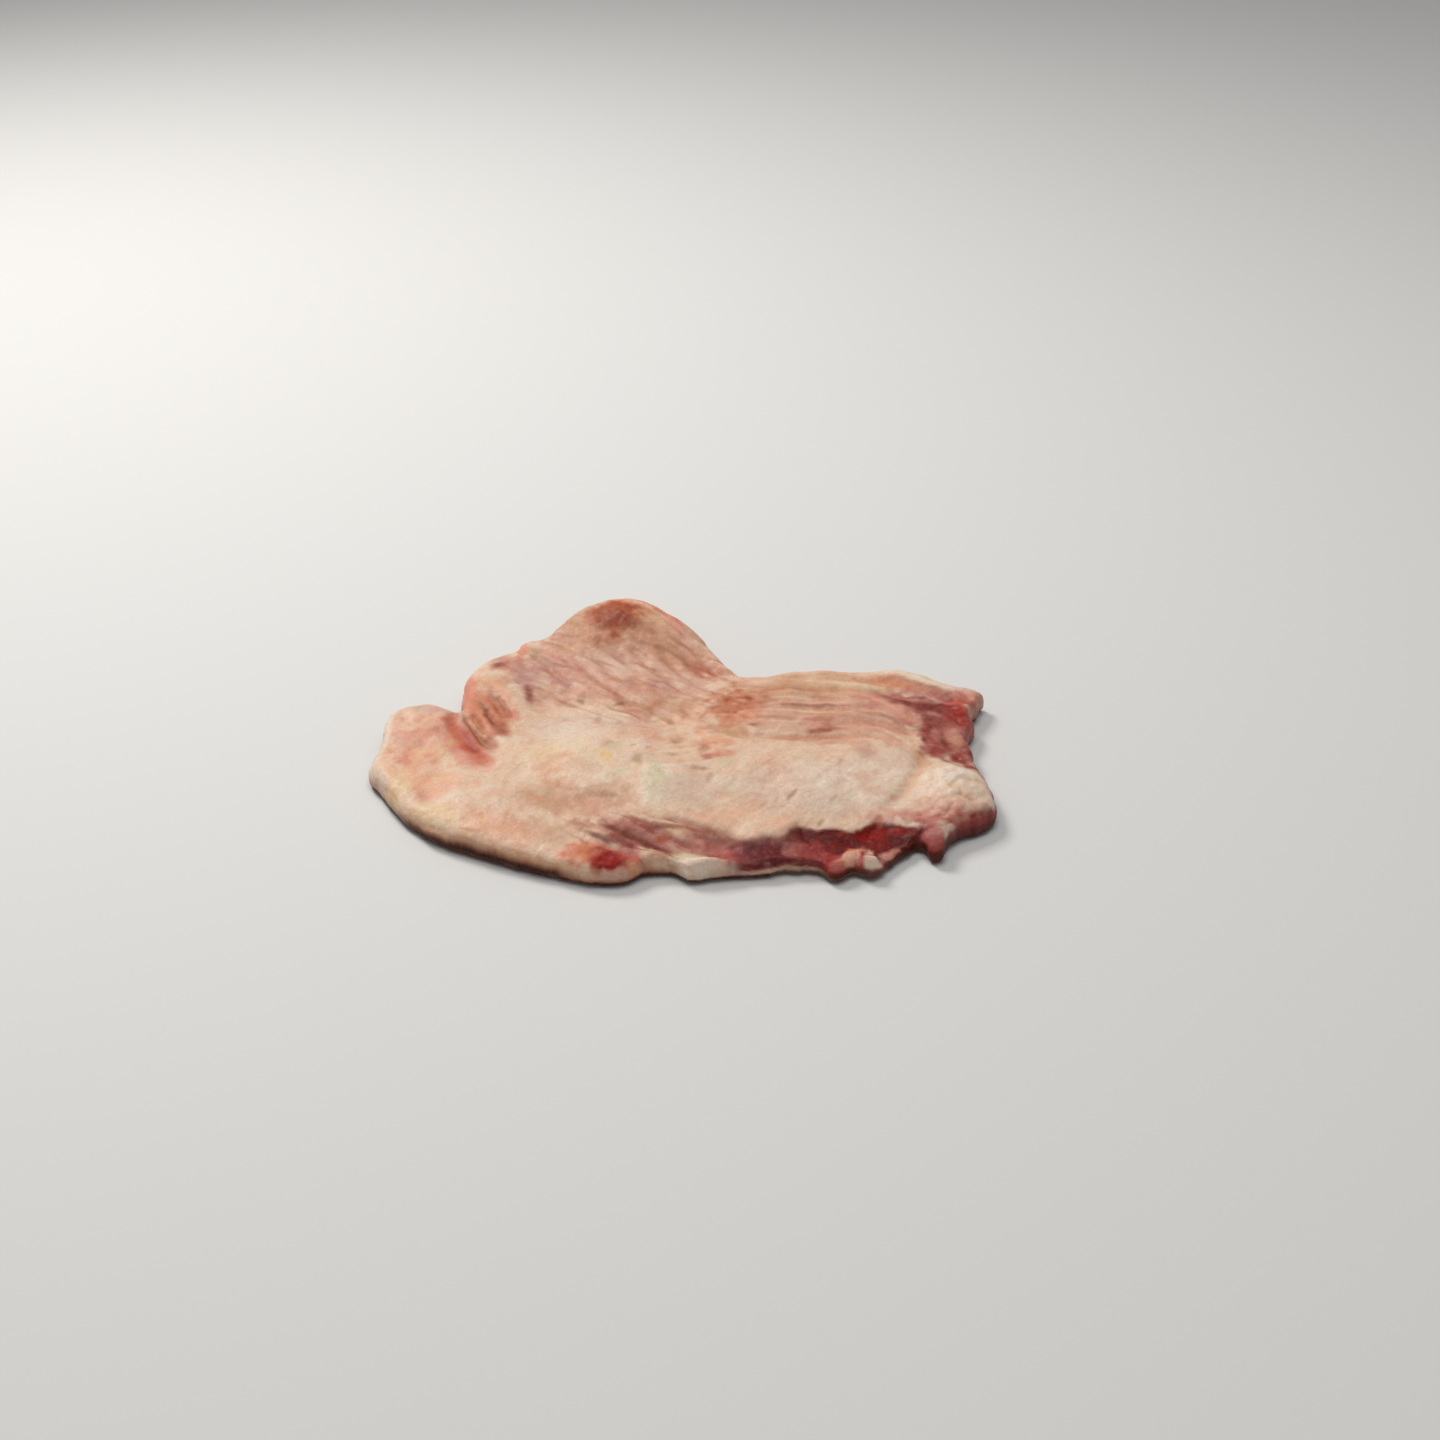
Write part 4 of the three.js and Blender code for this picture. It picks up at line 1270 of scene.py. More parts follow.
@dataclass
class JowlTissues:
    """The colours of both faces and the fine relief that goes with them.

    Each kind of noise is cut at a height of its own, its Z, so that no two look alike.

    Attributes:
        form: The form that they lie on.
        seed: Of the noise.
        clouds: The mottling under all patches.
        mottles: The finer mottling over the broad patches.
        streaks: The fibres of each stretch of the upper face.
        lean_band: The bare lean in front of the fat layer, its darkest patches partly painted shade on the
            front wall.
        front_fat: Fat and tags on the front edge.
        specks: Scattered spots of blood, dried lean and fat.
        lobules: Where the fat is crumbly, as small lobes with sharp valleys between them, the valleys
            darkened as painted shade and the lobes' tops paled as painted highlight.
        lobule_size: Their mean width.
        lobule_sway: Length and reach of the noise that makes them uneven.
        lobule_scatter: How far their middles stray, as a share of their width.
        dimples: Length and depth of the dimples.
        lean_fibres: Length, width and rise of the bare lean's fibres.
        lean_drop: How much lower the bare lean lies, beyond the form's own ledge.
        lean_softness: The width over which it does.
    """

    form: JowlForm
    seed: int = 11
    clouds: Mottle = Mottle((26, 20), 90.5, (0.0, 0.9), T.GREY_FAT, 0.6, T.PEACH_FAT, 0.6)
    mottles: tuple[Mottle, ...] = (
        Mottle((13, 9), 93.5, (0.2, 1.1), T.PINK_FILM, 0.35, T.WHITE_FAT, 0.45),
        Mottle((5.5, 4.5), 96.5, (0.3, 1.1), T.TAN_FILM, 0.45, T.CREAM_FAT, 0.5),
    )
    streaks: tuple[Streaks, ...] = (
        Streaks(Oval((-20, 44), (58, 52), -20), -38, 3.6, 24, T.SIENNA_FILM, T.SHELL_FAT, 0.6, 0.34, 0.5),
        Streaks(
            Oval((48, 13), (54, 32), -4), 0, 5.0, 46, T.SIENNA_FILM, T.CREAM_FAT, 0.55, 0.3, 0.25,
            Grain.BENT_DOWN,
        ),
        Streaks(Oval((-45, -18), (62, 50)), 26, 7.0, 20, T.PINK_FILM, T.CREAM_FAT, 0.3, 0.2, 0.25),
        Streaks(Oval((44, -40), (48, 32)), 50, 6.0, 14, T.PINK_FILM, T.WHITE_FAT, 0.36, 0.26, 0.35),
        Streaks(Oval((-10, -68), (32, 14), -10), -30, 3.0, 18, T.PALE_LEAN, T.PINK_FILM, 0.8, 0.3, 0.8),
        Streaks(Oval((92, 0), (20, 38)), -60, 3.4, 20, T.MAROON_LEAN, T.BLUSH_LEAN, 0.5, 0.34, 0.4),
        Streaks(Oval((0, -10), (26, 26)), 20, 5.0, 12, T.TAN_FILM, T.CREAM_FAT, 0.45, 0.22, 0.4),
        Streaks(Oval((-90, -10), (18, 28)), 60, 5.0, 12, T.ROSE_FILM, T.CREAM_FAT, 0.4, 0.2, 0.2),
    )
    lean_band: tuple[Patch, ...] = (
        patch(T.MAUVE_LEAN, 46, -70, 42, 24, 0, 1.0, 0.85),
        patch(T.BLUSH_LEAN, 0, -67, 20, 9, 0, 0.9, 0.6),
        patch(T.MAUVE_LEAN, 0, -60, 9, 3, 0, 0.5, 0.4),
        patch(T.ROSE_LEAN, 15.5, -73, 5.5, 5, 0, 0.9, 0.3),
        patch(T.PLUM_LEAN, 28, -72, 14, 13, 0, 0.9, 0.3),
        patch(T.MAROON_LEAN, 27, -72, 10, 6, 0, 0.8, 0.1),
        patch(T.BLUSH_LEAN, 36, -71, 4, 7, 0, 0.6, 0.3),
        patch(T.CRIMSON_LEAN, 47, -71, 10, 14, 0, 0.95, 0.6),
        patch(T.MAROON_LEAN, 47, -62, 12, 5.5, 0, 0.95, 0.5),
        # partly painted shade: the darkest maroon and near-black patches deepen the front wall as if in shade
        patch(T.MAROON_LEAN, 64, -64, 21, 13, -6, 1.0, 0.8),
        patch(T.DARK_LEAN, 72, -67, 11, 6, 0, 0.5, 0.2),
        patch(T.BLOOD, 62, -61.4, 13, 3.4, -2, 0.8, 0.3),
        patch(T.BLOOD, 49, -76, 3.4, 4, 0, 0.6, 0.2),
        patch(T.BLOOD, 64.5, -67, 6, 3, -4, 0.4, 0.2),
    )
    front_fat: tuple[Patch, ...] = (
        patch(T.GREEN_FAT, 2, -76.5, 6.5, 4, 10, 0.85, 0.5),
        patch(T.CREAM_FAT, 8, -81, 15, 5, -2, 1.0, 0.5),
        patch(T.SHELL_FAT, 22, -80.4, 10, 2.0, 4, 0.8, 0.3),
        patch(T.WHITE_FAT, 5, -81.6, 9, 4.4, -4, 0.85, 0.3),
        patch(T.ROSE_LEAN, 50.5, -79, 4, 4, 0, 0.8, 0.4),
        patch(T.CORAL_FILM, 54.4, -74, 7, 2.6, 60, 1.0, 0.5),
        patch(T.PEACH_FAT, 54.6, -74.6, 5.6, 1.6, 60, 0.95, 0.4),
        patch(T.CRIMSON_LEAN, 58.4, -75, 1.0, 4, 10, 0.8, 0.3),
        patch(T.PEACH_FAT, 60, -73.6, 4.6, 1.8, 80, 0.95, 0.4),
        patch(T.CREAM_FAT, 61.4, -77.4, 3.9, 3.2, 10, 1.0, 0.6),
        patch(T.ROSE_LEAN, 64.6, -74.6, 1.4, 3, -20, 0.7, 0.3),
        patch(T.BLUSH_FILM, 67.4, -71.6, 4.6, 2.6, 30, 1.0, 0.5),
        patch(T.SHELL_FAT, -21, -84.4, 12, 2.8, 6, 0.95, 0.6),
        patch(T.PEACH_FAT, -14, -81.4, 4, 2.4, -20, 0.8, 0.4),
    )
    specks: tuple[Specks, ...] = (
        Specks(T.BROWN_LEAN, Oval((17, 13), (13, 18)), 14, 1.3, 0.55),
        Specks(T.PEACH_FAT, Oval((18, 12), (13, 18)), 12, 1.6, 0.6),
        Specks(T.OLIVE_FILM, Oval((-30, 22), (32, 11)), 12, 1.5, 0.5),
        Specks(T.PINK_FILM, Oval((-40, -24), (40, 28), 20), 24, 3.2, 0.4),
        Specks(T.WHITE_FAT, Oval((-40, -20), (40, 26), 20), 20, 3.6, 0.5),
        Specks(T.GREEN_FAT, Oval((-20, -30), (50, 22)), 16, 3.0, 0.45),
        Specks(T.PEACH_FAT, Oval((-70, -40), (36, 18), -40), 20, 3.0, 0.5),
        Specks(T.GREY_FAT, Oval((-28, 32), (36, 20), -20), 18, 2.6, 0.35),
        Specks(T.ROSE_FILM, Oval((-24, 34), (40, 22), -20), 16, 2.0, 0.35),
        Specks(T.OLIVE_FILM, Oval((-2, -4), (26, 24)), 12, 1.3, 0.45),
        Specks(T.MAROON_LEAN, Oval((92, 4), (12, 20)), 14, 1.6, 0.55),
        Specks(T.BLUSH_LEAN, Oval((91, 6), (12, 24)), 14, 1.6, 0.6),
        Specks(T.BLOOD, Oval((82, -58), (20, 4)), 14, 1.4, 0.6),
        Specks(T.CREAM_FAT, Oval((84, -52), (17, 8)), 12, 1.5, 0.5),
        Specks(T.ROSE_FILM, Oval((86, -50), (18, 7)), 14, 1.8, 0.5),
        Specks(T.BLUSH_LEAN, Oval((28, -71), (20, 5)), 8, 1.1, 0.4),
        Specks(T.BLOOD, Oval((58, -72), (12, 7)), 12, 1.2, 0.6),
        Specks(T.WHITE_FAT, Oval((48, -36), (34, 18)), 22, 3.4, 0.5),
        Specks(T.PINK_FILM, Oval((48, -38), (34, 20)), 18, 2.6, 0.35),
        Specks(T.ROSE_FILM, Oval((-90, -8), (15, 24)), 12, 2.4, 0.4),
        Specks(T.YELLOW_FAT, Oval((-92, -20), (13, 26)), 12, 2.6, 0.5),
        Specks(T.BROWN_LEAN, Oval((-28, 68), (12, 12)), 10, 1.4, 0.6),
    )
    lobules: tuple[Mound, ...] = (
        Mound((90, -42), (20, 22), 0, 0.85),
        Mound((84, -57), (22, 12), 0, 0.95),
        Mound((60, -76), (16, 8), 0, 0.6),
        Mound((10, -79), (18, 7), 0, 0.4),
        Mound((100, 14), (12, 26), 0, 0.4),
        Mound((-98, 4), (18, 20), 0, 0.22),
        Mound((-28, 72), (18, 14), 0, 0.25),
    )
    lobule_size: float = 4.2
    lobule_sway: Place = (3.0, 0.9)
    lobule_scatter: float = 0.9
    dimples: Place = (5.0, 0.2)
    lean_fibres: tuple[float, float, float] = (4.0, 2.2, 0.45)
    lean_drop: float = 0.7
    lean_softness: float = 1.4

    def __post_init__(self) -> None:
        """Draws the noise."""
        self.noise = GradientNoise(self.seed)

    def speck_patches(self) -> tuple[Patch, ...]:
        """Every scattered spot."""
        return tuple(spot for k, specks in enumerate(self.specks) for spot in specks.patches(self.seed + k))

    def streak_values(self, x: Array, y: Array) -> list[tuple[Streaks, Array, Array]]:
        """Each set of streaks with its region's mask and its values.

        Args:
            x: Each point's X.
            y: Each point's Y.

        Returns:
            The streaks, mask and values of each set.
        """
        made = []
        for k, streaks in enumerate(self.streaks):
            mask = 1 - smoothstep(0.6, 1.0, streaks.region.radius(x, y))
            made.append((streaks, mask, streaks.value(x, y, self.noise, 20.0 + 7 * k)))
        return made

    def lobule_height(self, x: Array, y: Array) -> Array:
        """Domes around scattered seeds with sharp valleys between them, 1 - d^2 at the distance d.

        Args:
            x: Each point's X.
            y: Each point's Y.

        Returns:
            One height for each point, from 0 in the valleys to 1.
        """
        length, reach = self.lobule_sway
        u = (x + reach * self.noise.at(x / length, y / length, 140.5)) / self.lobule_size
        v = (y + reach * self.noise.at(x / length, y / length, 143.5)) / self.lobule_size
        nearest = np.full_like(x, 9.0)
        for i, j in np.ndindex(3, 3):
            column, row = np.floor(u) + i - 1, np.floor(v) + j - 1
            middle_u = column + self.lobule_scatter * scatter(column, row)
            middle_v = row + self.lobule_scatter * scatter(row, column + 7)
            nearest = np.minimum(nearest, np.hypot(middle_u - u, middle_v - v))
        return 1 - np.minimum(nearest, 1) ** 2

    def lobule_share(self, x: Array, y: Array) -> Array:
        """How high the lobules are at each point."""
        return sum(mound.height(x, y) for mound in self.lobules)

    def relief(self, x: Array, y: Array) -> Array:
        """Heights of the upper face's fine relief: ridges along the fibres, dimples and lobules of fat.

        Args:
            x: Each point's X.
            y: Each point's Y.

        Returns:
            One height for each point.
        """
        ridges = sum(streaks.rise * mask * value for streaks, mask, value in self.streak_values(x, y))
        size, depth = self.dimples
        dimples = depth * self.noise.layered(x / size, y / size, 60.5, 2)
        bare = self.form.below_ledge(x, y, self.lean_softness) * (0.35 + 0.65 * smoothstep(18.0, 42.0, x))
        lobules = self.lobule_share(x, y) * (2 * self.lobule_height(x, y) - 1)
        length, width, rise = self.lean_fibres
        fibres = rise * self.noise.layered(x / length, y / width, 66.5, 3)
        return ridges * (1 - 0.5 * bare) + dimples + lobules + bare * (fibres - self.lean_drop)

    def upper(self, x: Array, y: Array, inset: Array) -> tuple[Array, Array]:
        """Linear colours and leanness of the upper face.

        Args:
            x: Each point's X.
            y: Each point's Y.
            inset: Distance in from the outline.

        Returns:
            Colours, and leanness from 0 to 1.
        """
        noise = self.noise
        paint = Paint(x, y, T.CREAM_FAT, noise)
        paint.lay_mottle(self.clouds, noise)
        paint.lay_patches(BROAD_PATCHES)
        for mottle in self.mottles:
            paint.lay_mottle(mottle, noise)
        for streaks, mask, value in self.streak_values(x, y):
            # the fibres' colours follow their relief: the dark tissue in the troughs and folds is partly
            # painted shade, the light one on the ridges partly painted highlight
            paint.lay(streaks.dark, smoothstep(0.15, 1.0, -value) * mask * streaks.strength)
            paint.lay(streaks.light, smoothstep(0.25, 1.1, value) * mask * streaks.strength)
            # painted highlight and shade: the ridges paled and the troughs darkened by the same value as
            # their relief
            paint.deepen(-0.22 * value * mask * streaks.strength)
        self.lay_lean_band(paint)
        paint.lay_patches(FINE_PATCHES, drift=0.4)
        # partly painted shade: each crease's tissue laid along its groove
        for crease in self.form.creases():
            if crease.tissue is not None:
                profile = crease.profile(x + 0.3 * (paint.u - x), y + 0.3 * (paint.v - y))
                paint.lay(crease.tissue, crease.tint * profile)
        paint.lay_patches(self.speck_patches(), drift=0.0)
        paint.lay_patches(self.front_fat, drift=0.2)
        paint.lay_strokes(STROKES)
        self.lay_rims(paint, inset, self.form.rounded_rise(inset, self.form.edge_radius(x, y)))
        # painted shade and highlight: the valleys between the lobules darkened and their tops paled
        valleys = 0.45 - self.lobule_height(x, y)
        paint.deepen(np.clip(self.lobule_share(x, y), 0, 0.5) * 1.2 * valleys)
        fine = noise.layered(x / 2.6, y / 2.6, 150.5, 3)
        paint.deepen(0.13 * fine - 0.06 * noise.layered(x / 9, y / 9, 155.5, 2))
        return paint.tone, paint.lean

    def lay_lean_band(self, paint: Paint) -> None:
        """Lays the bare lean in front of the fat layer, from the top of the ledge to the front edge, its
        darkest patches partly painted shade.

        Args:
            paint: The face's colours.
        """
        softness = 1.2 + 3.4 * smoothstep(50.0, 24.0, paint.x)
        ragged = paint.y - 0.3 + 0.6 * paint.rough
        paint.lay(T.ROSE_FILM, 0.7 * self.form.below_ledge(paint.x, ragged, softness + 2.5))
        bare = self.form.below_ledge(paint.x, ragged, softness)
        paint.lay_patches(self.lean_band, bare)
        fibre = self.noise.layered(paint.x / 9, (paint.y + 0.06 * paint.x) / 1.7, 101.5, 3)
        paint.lay(T.MAROON_LEAN, smoothstep(0.0, 1.0, -fibre) * 0.5 * bare)
        paint.lay(T.PALE_LEAN, smoothstep(0.35, 1.3, fibre) * 0.45 * bare * smoothstep(64.0, 44.0, paint.x))

    def lay_rims(self, paint: Paint, inset: Array, height: Array) -> None:
        """Lays the colours of the sides and rims: layers all round, then each stretch's own.

        Args:
            paint: The face's colours.
            inset: Distance in from the outline.
            height: The share of the edge's full height, 0 at the rim and 1 on top.
        """
        x, y = paint.x, paint.y
        ragged = inset * (1 + 0.35 * paint.rough)
        side = height + 0.1 * paint.rough
        front = smoothstep(-14.0, -44.0, y)
        self.lay_layers(paint, height)
        self.lay_rim_fat(paint, ragged)
        self.lay_front_sides(paint, side, front)
        self.lay_back_sides(paint, side, 1 - front)
        end = smoothstep(88.0, 98.0, x) * smoothstep(-46.0, -30.0, y) * smoothstep(26.0, 16.0, y)
        paint.lay(T.CRIMSON_LEAN, 0.6 * smoothstep(3.5, 1.2, ragged) * end)

    def lay_layers(self, paint: Paint, height: Array) -> None:
        """Lays thin layers of film and fat in all sides.

        Args:
            paint: The face's colours.
            height: The share of the edge's full height.
        """
        x, y = paint.x, paint.y
        wall = smoothstep(1.0, 0.92, height)
        layers = self.noise.layered(x / 12, y / 12, 160.5 + 5.5 * height, 3)
        paint.lay(T.ROSE_FILM, 0.5 * wall * smoothstep(0.1, 0.8, layers))
        paint.lay(T.CREAM_FAT, 0.4 * wall * smoothstep(0.1, 0.8, -layers) * (1 - paint.lean))

    @staticmethod
    def lay_rim_fat(paint: Paint, ragged: Array) -> None:
        """Lays the lobe's white rim, whitish fat brightened in part as painted highlight, its mauve back, and
        the pink rim of the back band.

        Args:
            paint: The face's colours.
            ragged: The uneven distance in from the outline.
        """
        x, y = paint.x, paint.y
        # partly painted highlight: the lobe's rim laid whiter than its fat
        lobe = 1 - smoothstep(0.75, 1.0, Oval((-105, -2), (22, 40)).radius(x, y))
        paint.lay(T.WHITE_FAT, 0.8 * lobe * smoothstep(4.4, 1.6, ragged))
        lobe_back = 1 - smoothstep(0.3, 1.0, Oval((-92, 14), (13, 6), -16).radius(x, y))
        paint.lay(T.LILAC_FILM, 0.5 * lobe_back)
        back = 1 - smoothstep(0.8, 1.0, Oval((62, 44), (50, 14), -4).radius(x, y))
        paint.lay(T.PEACH_FAT, 0.5 * back * smoothstep(5.0, 2.0, ragged) * smoothstep(74.0, 66.0, x))

    @staticmethod
    def lay_front_sides(paint: Paint, side: Array, front: Array) -> None:
        """Lays the front's sides: brown at the left, partly the lean below the fat and partly painted shade,
        pale under the strip of fat, and red at the right, with a painted shadow low on the left and right
        sides.

        Args:
            paint: The face's colours.
            side: The uneven share of the edge's full height.
            front: The share by which each point lies at the front.
        """
        x = paint.x
        left = smoothstep(-30.0, -42.0, x) * smoothstep(-102.0, -84.0, x)
        # tan and brown low on the left front side are partly the lean below the fat and partly painted shade;
        # the near-black at its foot is painted shadow
        paint.lay(T.TAN_FILM, 0.6 * smoothstep(0.85, 0.55, side) * front * left)
        paint.lay(T.BROWN_LEAN, 0.85 * smoothstep(0.56, 0.26, side) * front * left)
        paint.lay(T.DARK_LEAN, smoothstep(0.3, 0.1, side) * front * left)
        middle = front * smoothstep(-42.0, -30.0, x) * smoothstep(48.0, 40.0, x)
        strip = smoothstep(-6.0, 0.0, x) * smoothstep(22.0, 16.0, x)
        # painted shade: tan and brown at the foot of the middle of the front
        paint.lay(T.TAN_FILM, 0.4 * smoothstep(0.45, 0.2, side) * middle * (1 - strip))
        paint.lay(T.BROWN_LEAN, 0.6 * smoothstep(0.16, 0.04, side) * middle * (1 - 0.6 * strip))
        lean_wall = front * smoothstep(12.0, 26.0, x) * smoothstep(50.0, 44.0, x)
        paint.lay(T.MAROON_LEAN, 0.5 * smoothstep(0.98, 0.75, side) * lean_wall)
        paler = 0.9 - 0.4 * smoothstep(26.0, 44.0, x)
        paint.lay(T.SHELL_FAT, paler * smoothstep(0.42, 0.2, side) * lean_wall)
        right = front * smoothstep(42.0, 50.0, x)
        paint.lay(T.MAROON_LEAN, 0.9 * smoothstep(0.7, 0.45, side) * right)
        paint.lay(T.CRIMSON_LEAN, 0.7 * smoothstep(0.8, 0.55, side) * right * smoothstep(86.0, 92.0, x))
        # painted shadow: near-black low on the right front side
        paint.lay(T.DARK_LEAN, 0.7 * smoothstep(0.5, 0.2, side) * right)

    def lay_back_sides(self, paint: Paint, side: Array, back: Array) -> None:
        """Lays the uneven layer of lean that shows low in the sides away from the front.

        Args:
            paint: The face's colours.
            side: The uneven share of the edge's full height.
            back: The share by which each point lies away from the front.
        """
        x, y = paint.x, paint.y
        bays = 0.55 * self.noise.layered(x / 19, y / 19, 165.5, 2)
        wavy = side + bays + 0.12 * self.noise.at(x / 4, y / 4, 168.5)
        uneven = back * (0.7 + 0.3 * self.noise.at(x / 8, y / 8, 170.5))
        paint.lay(T.BLUSH_FILM, 0.6 * smoothstep(0.62, 0.42, wavy) * uneven)
        paint.lay(T.ROSE_LEAN, 0.75 * smoothstep(0.46, 0.24, wavy) * uneven)
        paint.lay(T.CRIMSON_LEAN, 0.55 * smoothstep(0.26, 0.02, wavy) * uneven)

    def under(self, x: Array, y: Array, inset: Array) -> tuple[Array, Array]:
        """Linear colours and leanness of the under face: lean meat with veins and islands of fat, and a
        painted shadow along its rim.

        Args:
            x: Each point's X.
            y: Each point's Y.
            inset: Distance in from the outline.

        Returns:
            Colours, and leanness from 0 to 1.
        """
        noise = self.noise
        paint = Paint(x, y, T.PALE_LEAN, noise)
        fibre = noise.layered((x + 0.4 * y) / 22, (y - 0.4 * x) / 2.6, 120.5, 4)
        paint.lay(T.RED_LEAN, smoothstep(0.0, 1.0, fibre) * 0.7)
        paint.lay(T.PINK_FILM, smoothstep(0.1, 1.0, -fibre) * 0.6)
        islands = noise.layered(paint.u / 24, paint.v / 15, 126.5, 3) + 0.2 * paint.rough
        paint.lay(T.CREAM_FAT, smoothstep(0.15, 0.5, islands) * 0.85)
        veins = np.abs(noise.layered(paint.u / 13, paint.v / 7, 132.5, 2))
        paint.lay(T.PEACH_FAT, smoothstep(0.14, 0.03, veins) * 0.75)
        # painted shadow: near-black along the under face's rim
        paint.lay(T.DARK_LEAN, 0.85 * smoothstep(3.0, 1.5, inset))
        return paint.tone, paint.lean


@dataclass
class Jowl:
    """The one piece of meat: its mesh from the sheet, the form and the tissues, and its dress.

    Attributes:
        form: Its form.
        seed: Of the noise in its outline and its lumps.
        outline_samples: Places on its outline.
        block: How many cells wide the under face's large faces are.
        block_inset: How far in from the outline they start.
        rag: How far its edge is ragged everywhere.
        ragged_stretches: Where it is more ragged, and by how much.
        bay: Length of the ragged edge's bays.
        lumps: Length and rise of round lumps, the larger first.
        side_layers: Length, height and rise of the flat layers in the sides.
    """

    form: JowlForm = field(default_factory=JowlForm)
    seed: int = 5
    outline_samples: int = 1000
    block: int = 4
    block_inset: float = 6.0
    rag: float = 0.25
    ragged_stretches: tuple[Mound, ...] = (
        Mound((102, -2), (22, 60), 0, 0.9),
        Mound((62, -76), (58, 22), 0, 1.2),
        Mound((-64, 60), (16, 16), 0, 0.7),
        Mound((-104, 6), (14, 30), 0, 0.7),
    )
    bay: float = 6.0
    lumps: tuple[Place, Place] = ((3.4, 0.16), (1.1, 0.05))
    side_layers: tuple[float, float, float] = (10.0, 2.4, 0.5)

    def ragged_outline(self) -> Line:
        """The outline with fine uneven bays: each place moves along the normal by noise times the rag.

        Returns:
            The line that the sheet is cut along.
        """
        smooth = Line(OUTLINE, True, self.outline_samples)
        places = smooth.places
        way = np.roll(places, -1, 0) - np.roll(places, 1, 0)
        normal = np.stack([way[:, 1], -way[:, 0]], axis=1) / np.linalg.norm(way, axis=1, keepdims=True)
        x, y = places.T
        noise = GradientNoise(self.seed)
        size = self.rag + sum(stretch.height(x, y) for stretch in self.ragged_stretches)
        shift = size * noise.layered(x / self.bay, y / self.bay, 0.5, 2)
        return smooth.with_places(places + normal * shift[:, None])

    @staticmethod
    def triangles(corners: Array, places: Array) -> Array:
        """Two triangles for each four-cornered cell, split along its shorter diagonal.

        Args:
            corners: Four vertex numbers for each cell, counter-clockwise.
            places: Every vertex.

        Returns:
            Three vertex numbers for each triangle.
        """
        a, b, c, d = corners.T
        lengths = [np.linalg.norm(places[m] - places[n], axis=1) for m, n in ((a, c), (b, d))]
        straight = lengths[0] <= lengths[1]
        first = np.where(straight[:, None], np.stack([a, b, c], 1), np.stack([b, c, d], 1))
        second = np.where(straight[:, None], np.stack([a, c, d], 1), np.stack([b, d, a], 1))
        return np.concatenate([first, second])

    def merged_blocks(self, sheet: Sheet) -> tuple[Array, list[list[tuple[int, int]]]]:
        """Square blocks of cells well inside the outline, each as one face, for the plain under face.

        A block's face has its corners, and those nodes between them that cells outside all blocks use.

        Args:
            sheet: The grid.

        Returns:
            Which cells the blocks take up, and the grid nodes around each block, clockwise seen from above.
        """
        n = self.block
        count = [size // n for size in sheet.kept.shape]
        deep = sheet.kept & (sheet.distance[:-1, :-1] > self.block_inset)
        blocks = deep[: count[0] * n, : count[1] * n].reshape(count[0], n, count[1], n).all(axis=(1, 3))
        taken = np.zeros_like(sheet.kept)
        taken[: count[0] * n, : count[1] * n] = np.repeat(np.repeat(blocks, n, 0), n, 1)
        single = np.pad(sheet.kept & ~taken, 1)
        needed = single[:-1, :-1] | single[1:, :-1] | single[:-1, 1:] | single[1:, 1:]
        needed[::n, ::n] = True
        around = [(0, k) for k in range(n)] + [(k, n) for k in range(n)]
        around += [(n, n - k) for k in range(n)] + [(n - k, 0) for k in range(n)]
        rings = []
        for i, j in np.argwhere(blocks) * n:
            rings.append([(i + di, j + dj) for di, dj in around if needed[i + di, j + dj]])
        return taken, rings

    @staticmethod
    def normals(places: Array, faces: Array) -> Array:
        """Each vertex's normal: the sum of its triangles' normals, which are as long as twice their areas.

        Args:
            places: Every vertex.
            faces: Three vertex numbers for each triangle.

        Returns:
            One unit vector for each vertex.
        """
        a, b, c = (places[faces[:, n]] for n in range(3))
        cross = np.cross(b - a, c - a)
        sums = [sum(np.bincount(faces[:, n], part, len(places)) for n in range(3)) for part in cross.T]
        total = np.stack(sums, axis=1)
        return total / np.maximum(np.linalg.norm(total, axis=1, keepdims=True), 1e-12)

    def build(self) -> bpy.types.Object:
        """The finished piece: both faces on one sheet, met at the outline, with fine lumps along the normals.

        Returns:
            The object, at the origin, in metres.
        """
        sheet = Sheet(self.ragged_outline())
        tissues = JowlTissues(self.form)
        used, on_edge = sheet.used, sheet.on_edge
        inner = used & ~on_edge
        top = [values[used] for values in sheet.placed(self.form.edge_rounding)]
        foot = [values[inner] for values in sheet.placed(self.form.foot_rounding)]
        top_z = self.form.upper(*top, tissues.relief(*top[:2]))
        foot_z = self.form.under(*foot)
        top_number = np.full(used.shape, -1)
        top_number[used] = np.arange(used.sum())
        foot_number = top_number.copy()
        foot_number[inner] = used.sum() + np.arange(inner.sum())
        places = np.concatenate([np.stack([*top[:2], top_z], 1), np.stack([*foot[:2], foot_z], 1)])
        upper = self.triangles(self.corners(sheet.kept, top_number), places)
        under = self.triangles(self.corners(sheet.kept, foot_number)[:, ::-1], places)
        tones = [tissues.upper(*top), tissues.under(*foot)]
        tone = np.concatenate([part[0] for part in tones])
        lean = np.concatenate([part[1] for part in tones])
        places = self.lumped(places, np.concatenate([upper, under]), lean)
        outline = Line(OUTLINE, True, self.outline_samples).places
        places[:, :2] -= (outline.min(0) + outline.max(0)) / 2
        taken, rings = self.merged_blocks(sheet)
        single = self.triangles(self.corners(sheet.kept & ~taken, foot_number)[:, ::-1], places)
        large = [[int(foot_number[node]) for node in ring] for ring in rings]
        faces = [*upper.tolist(), *single.tolist(), *large]
        return self.dressed(places * MM, faces, tone, lean)

    @staticmethod
    def corners(kept: Array, number: Array) -> Array:
        """The four vertex numbers of each kept cell, counter-clockwise seen from above."""
        i, j = np.nonzero(kept)
        return np.stack([number[i, j], number[i + 1, j], number[i + 1, j + 1], number[i, j + 1]], axis=1)

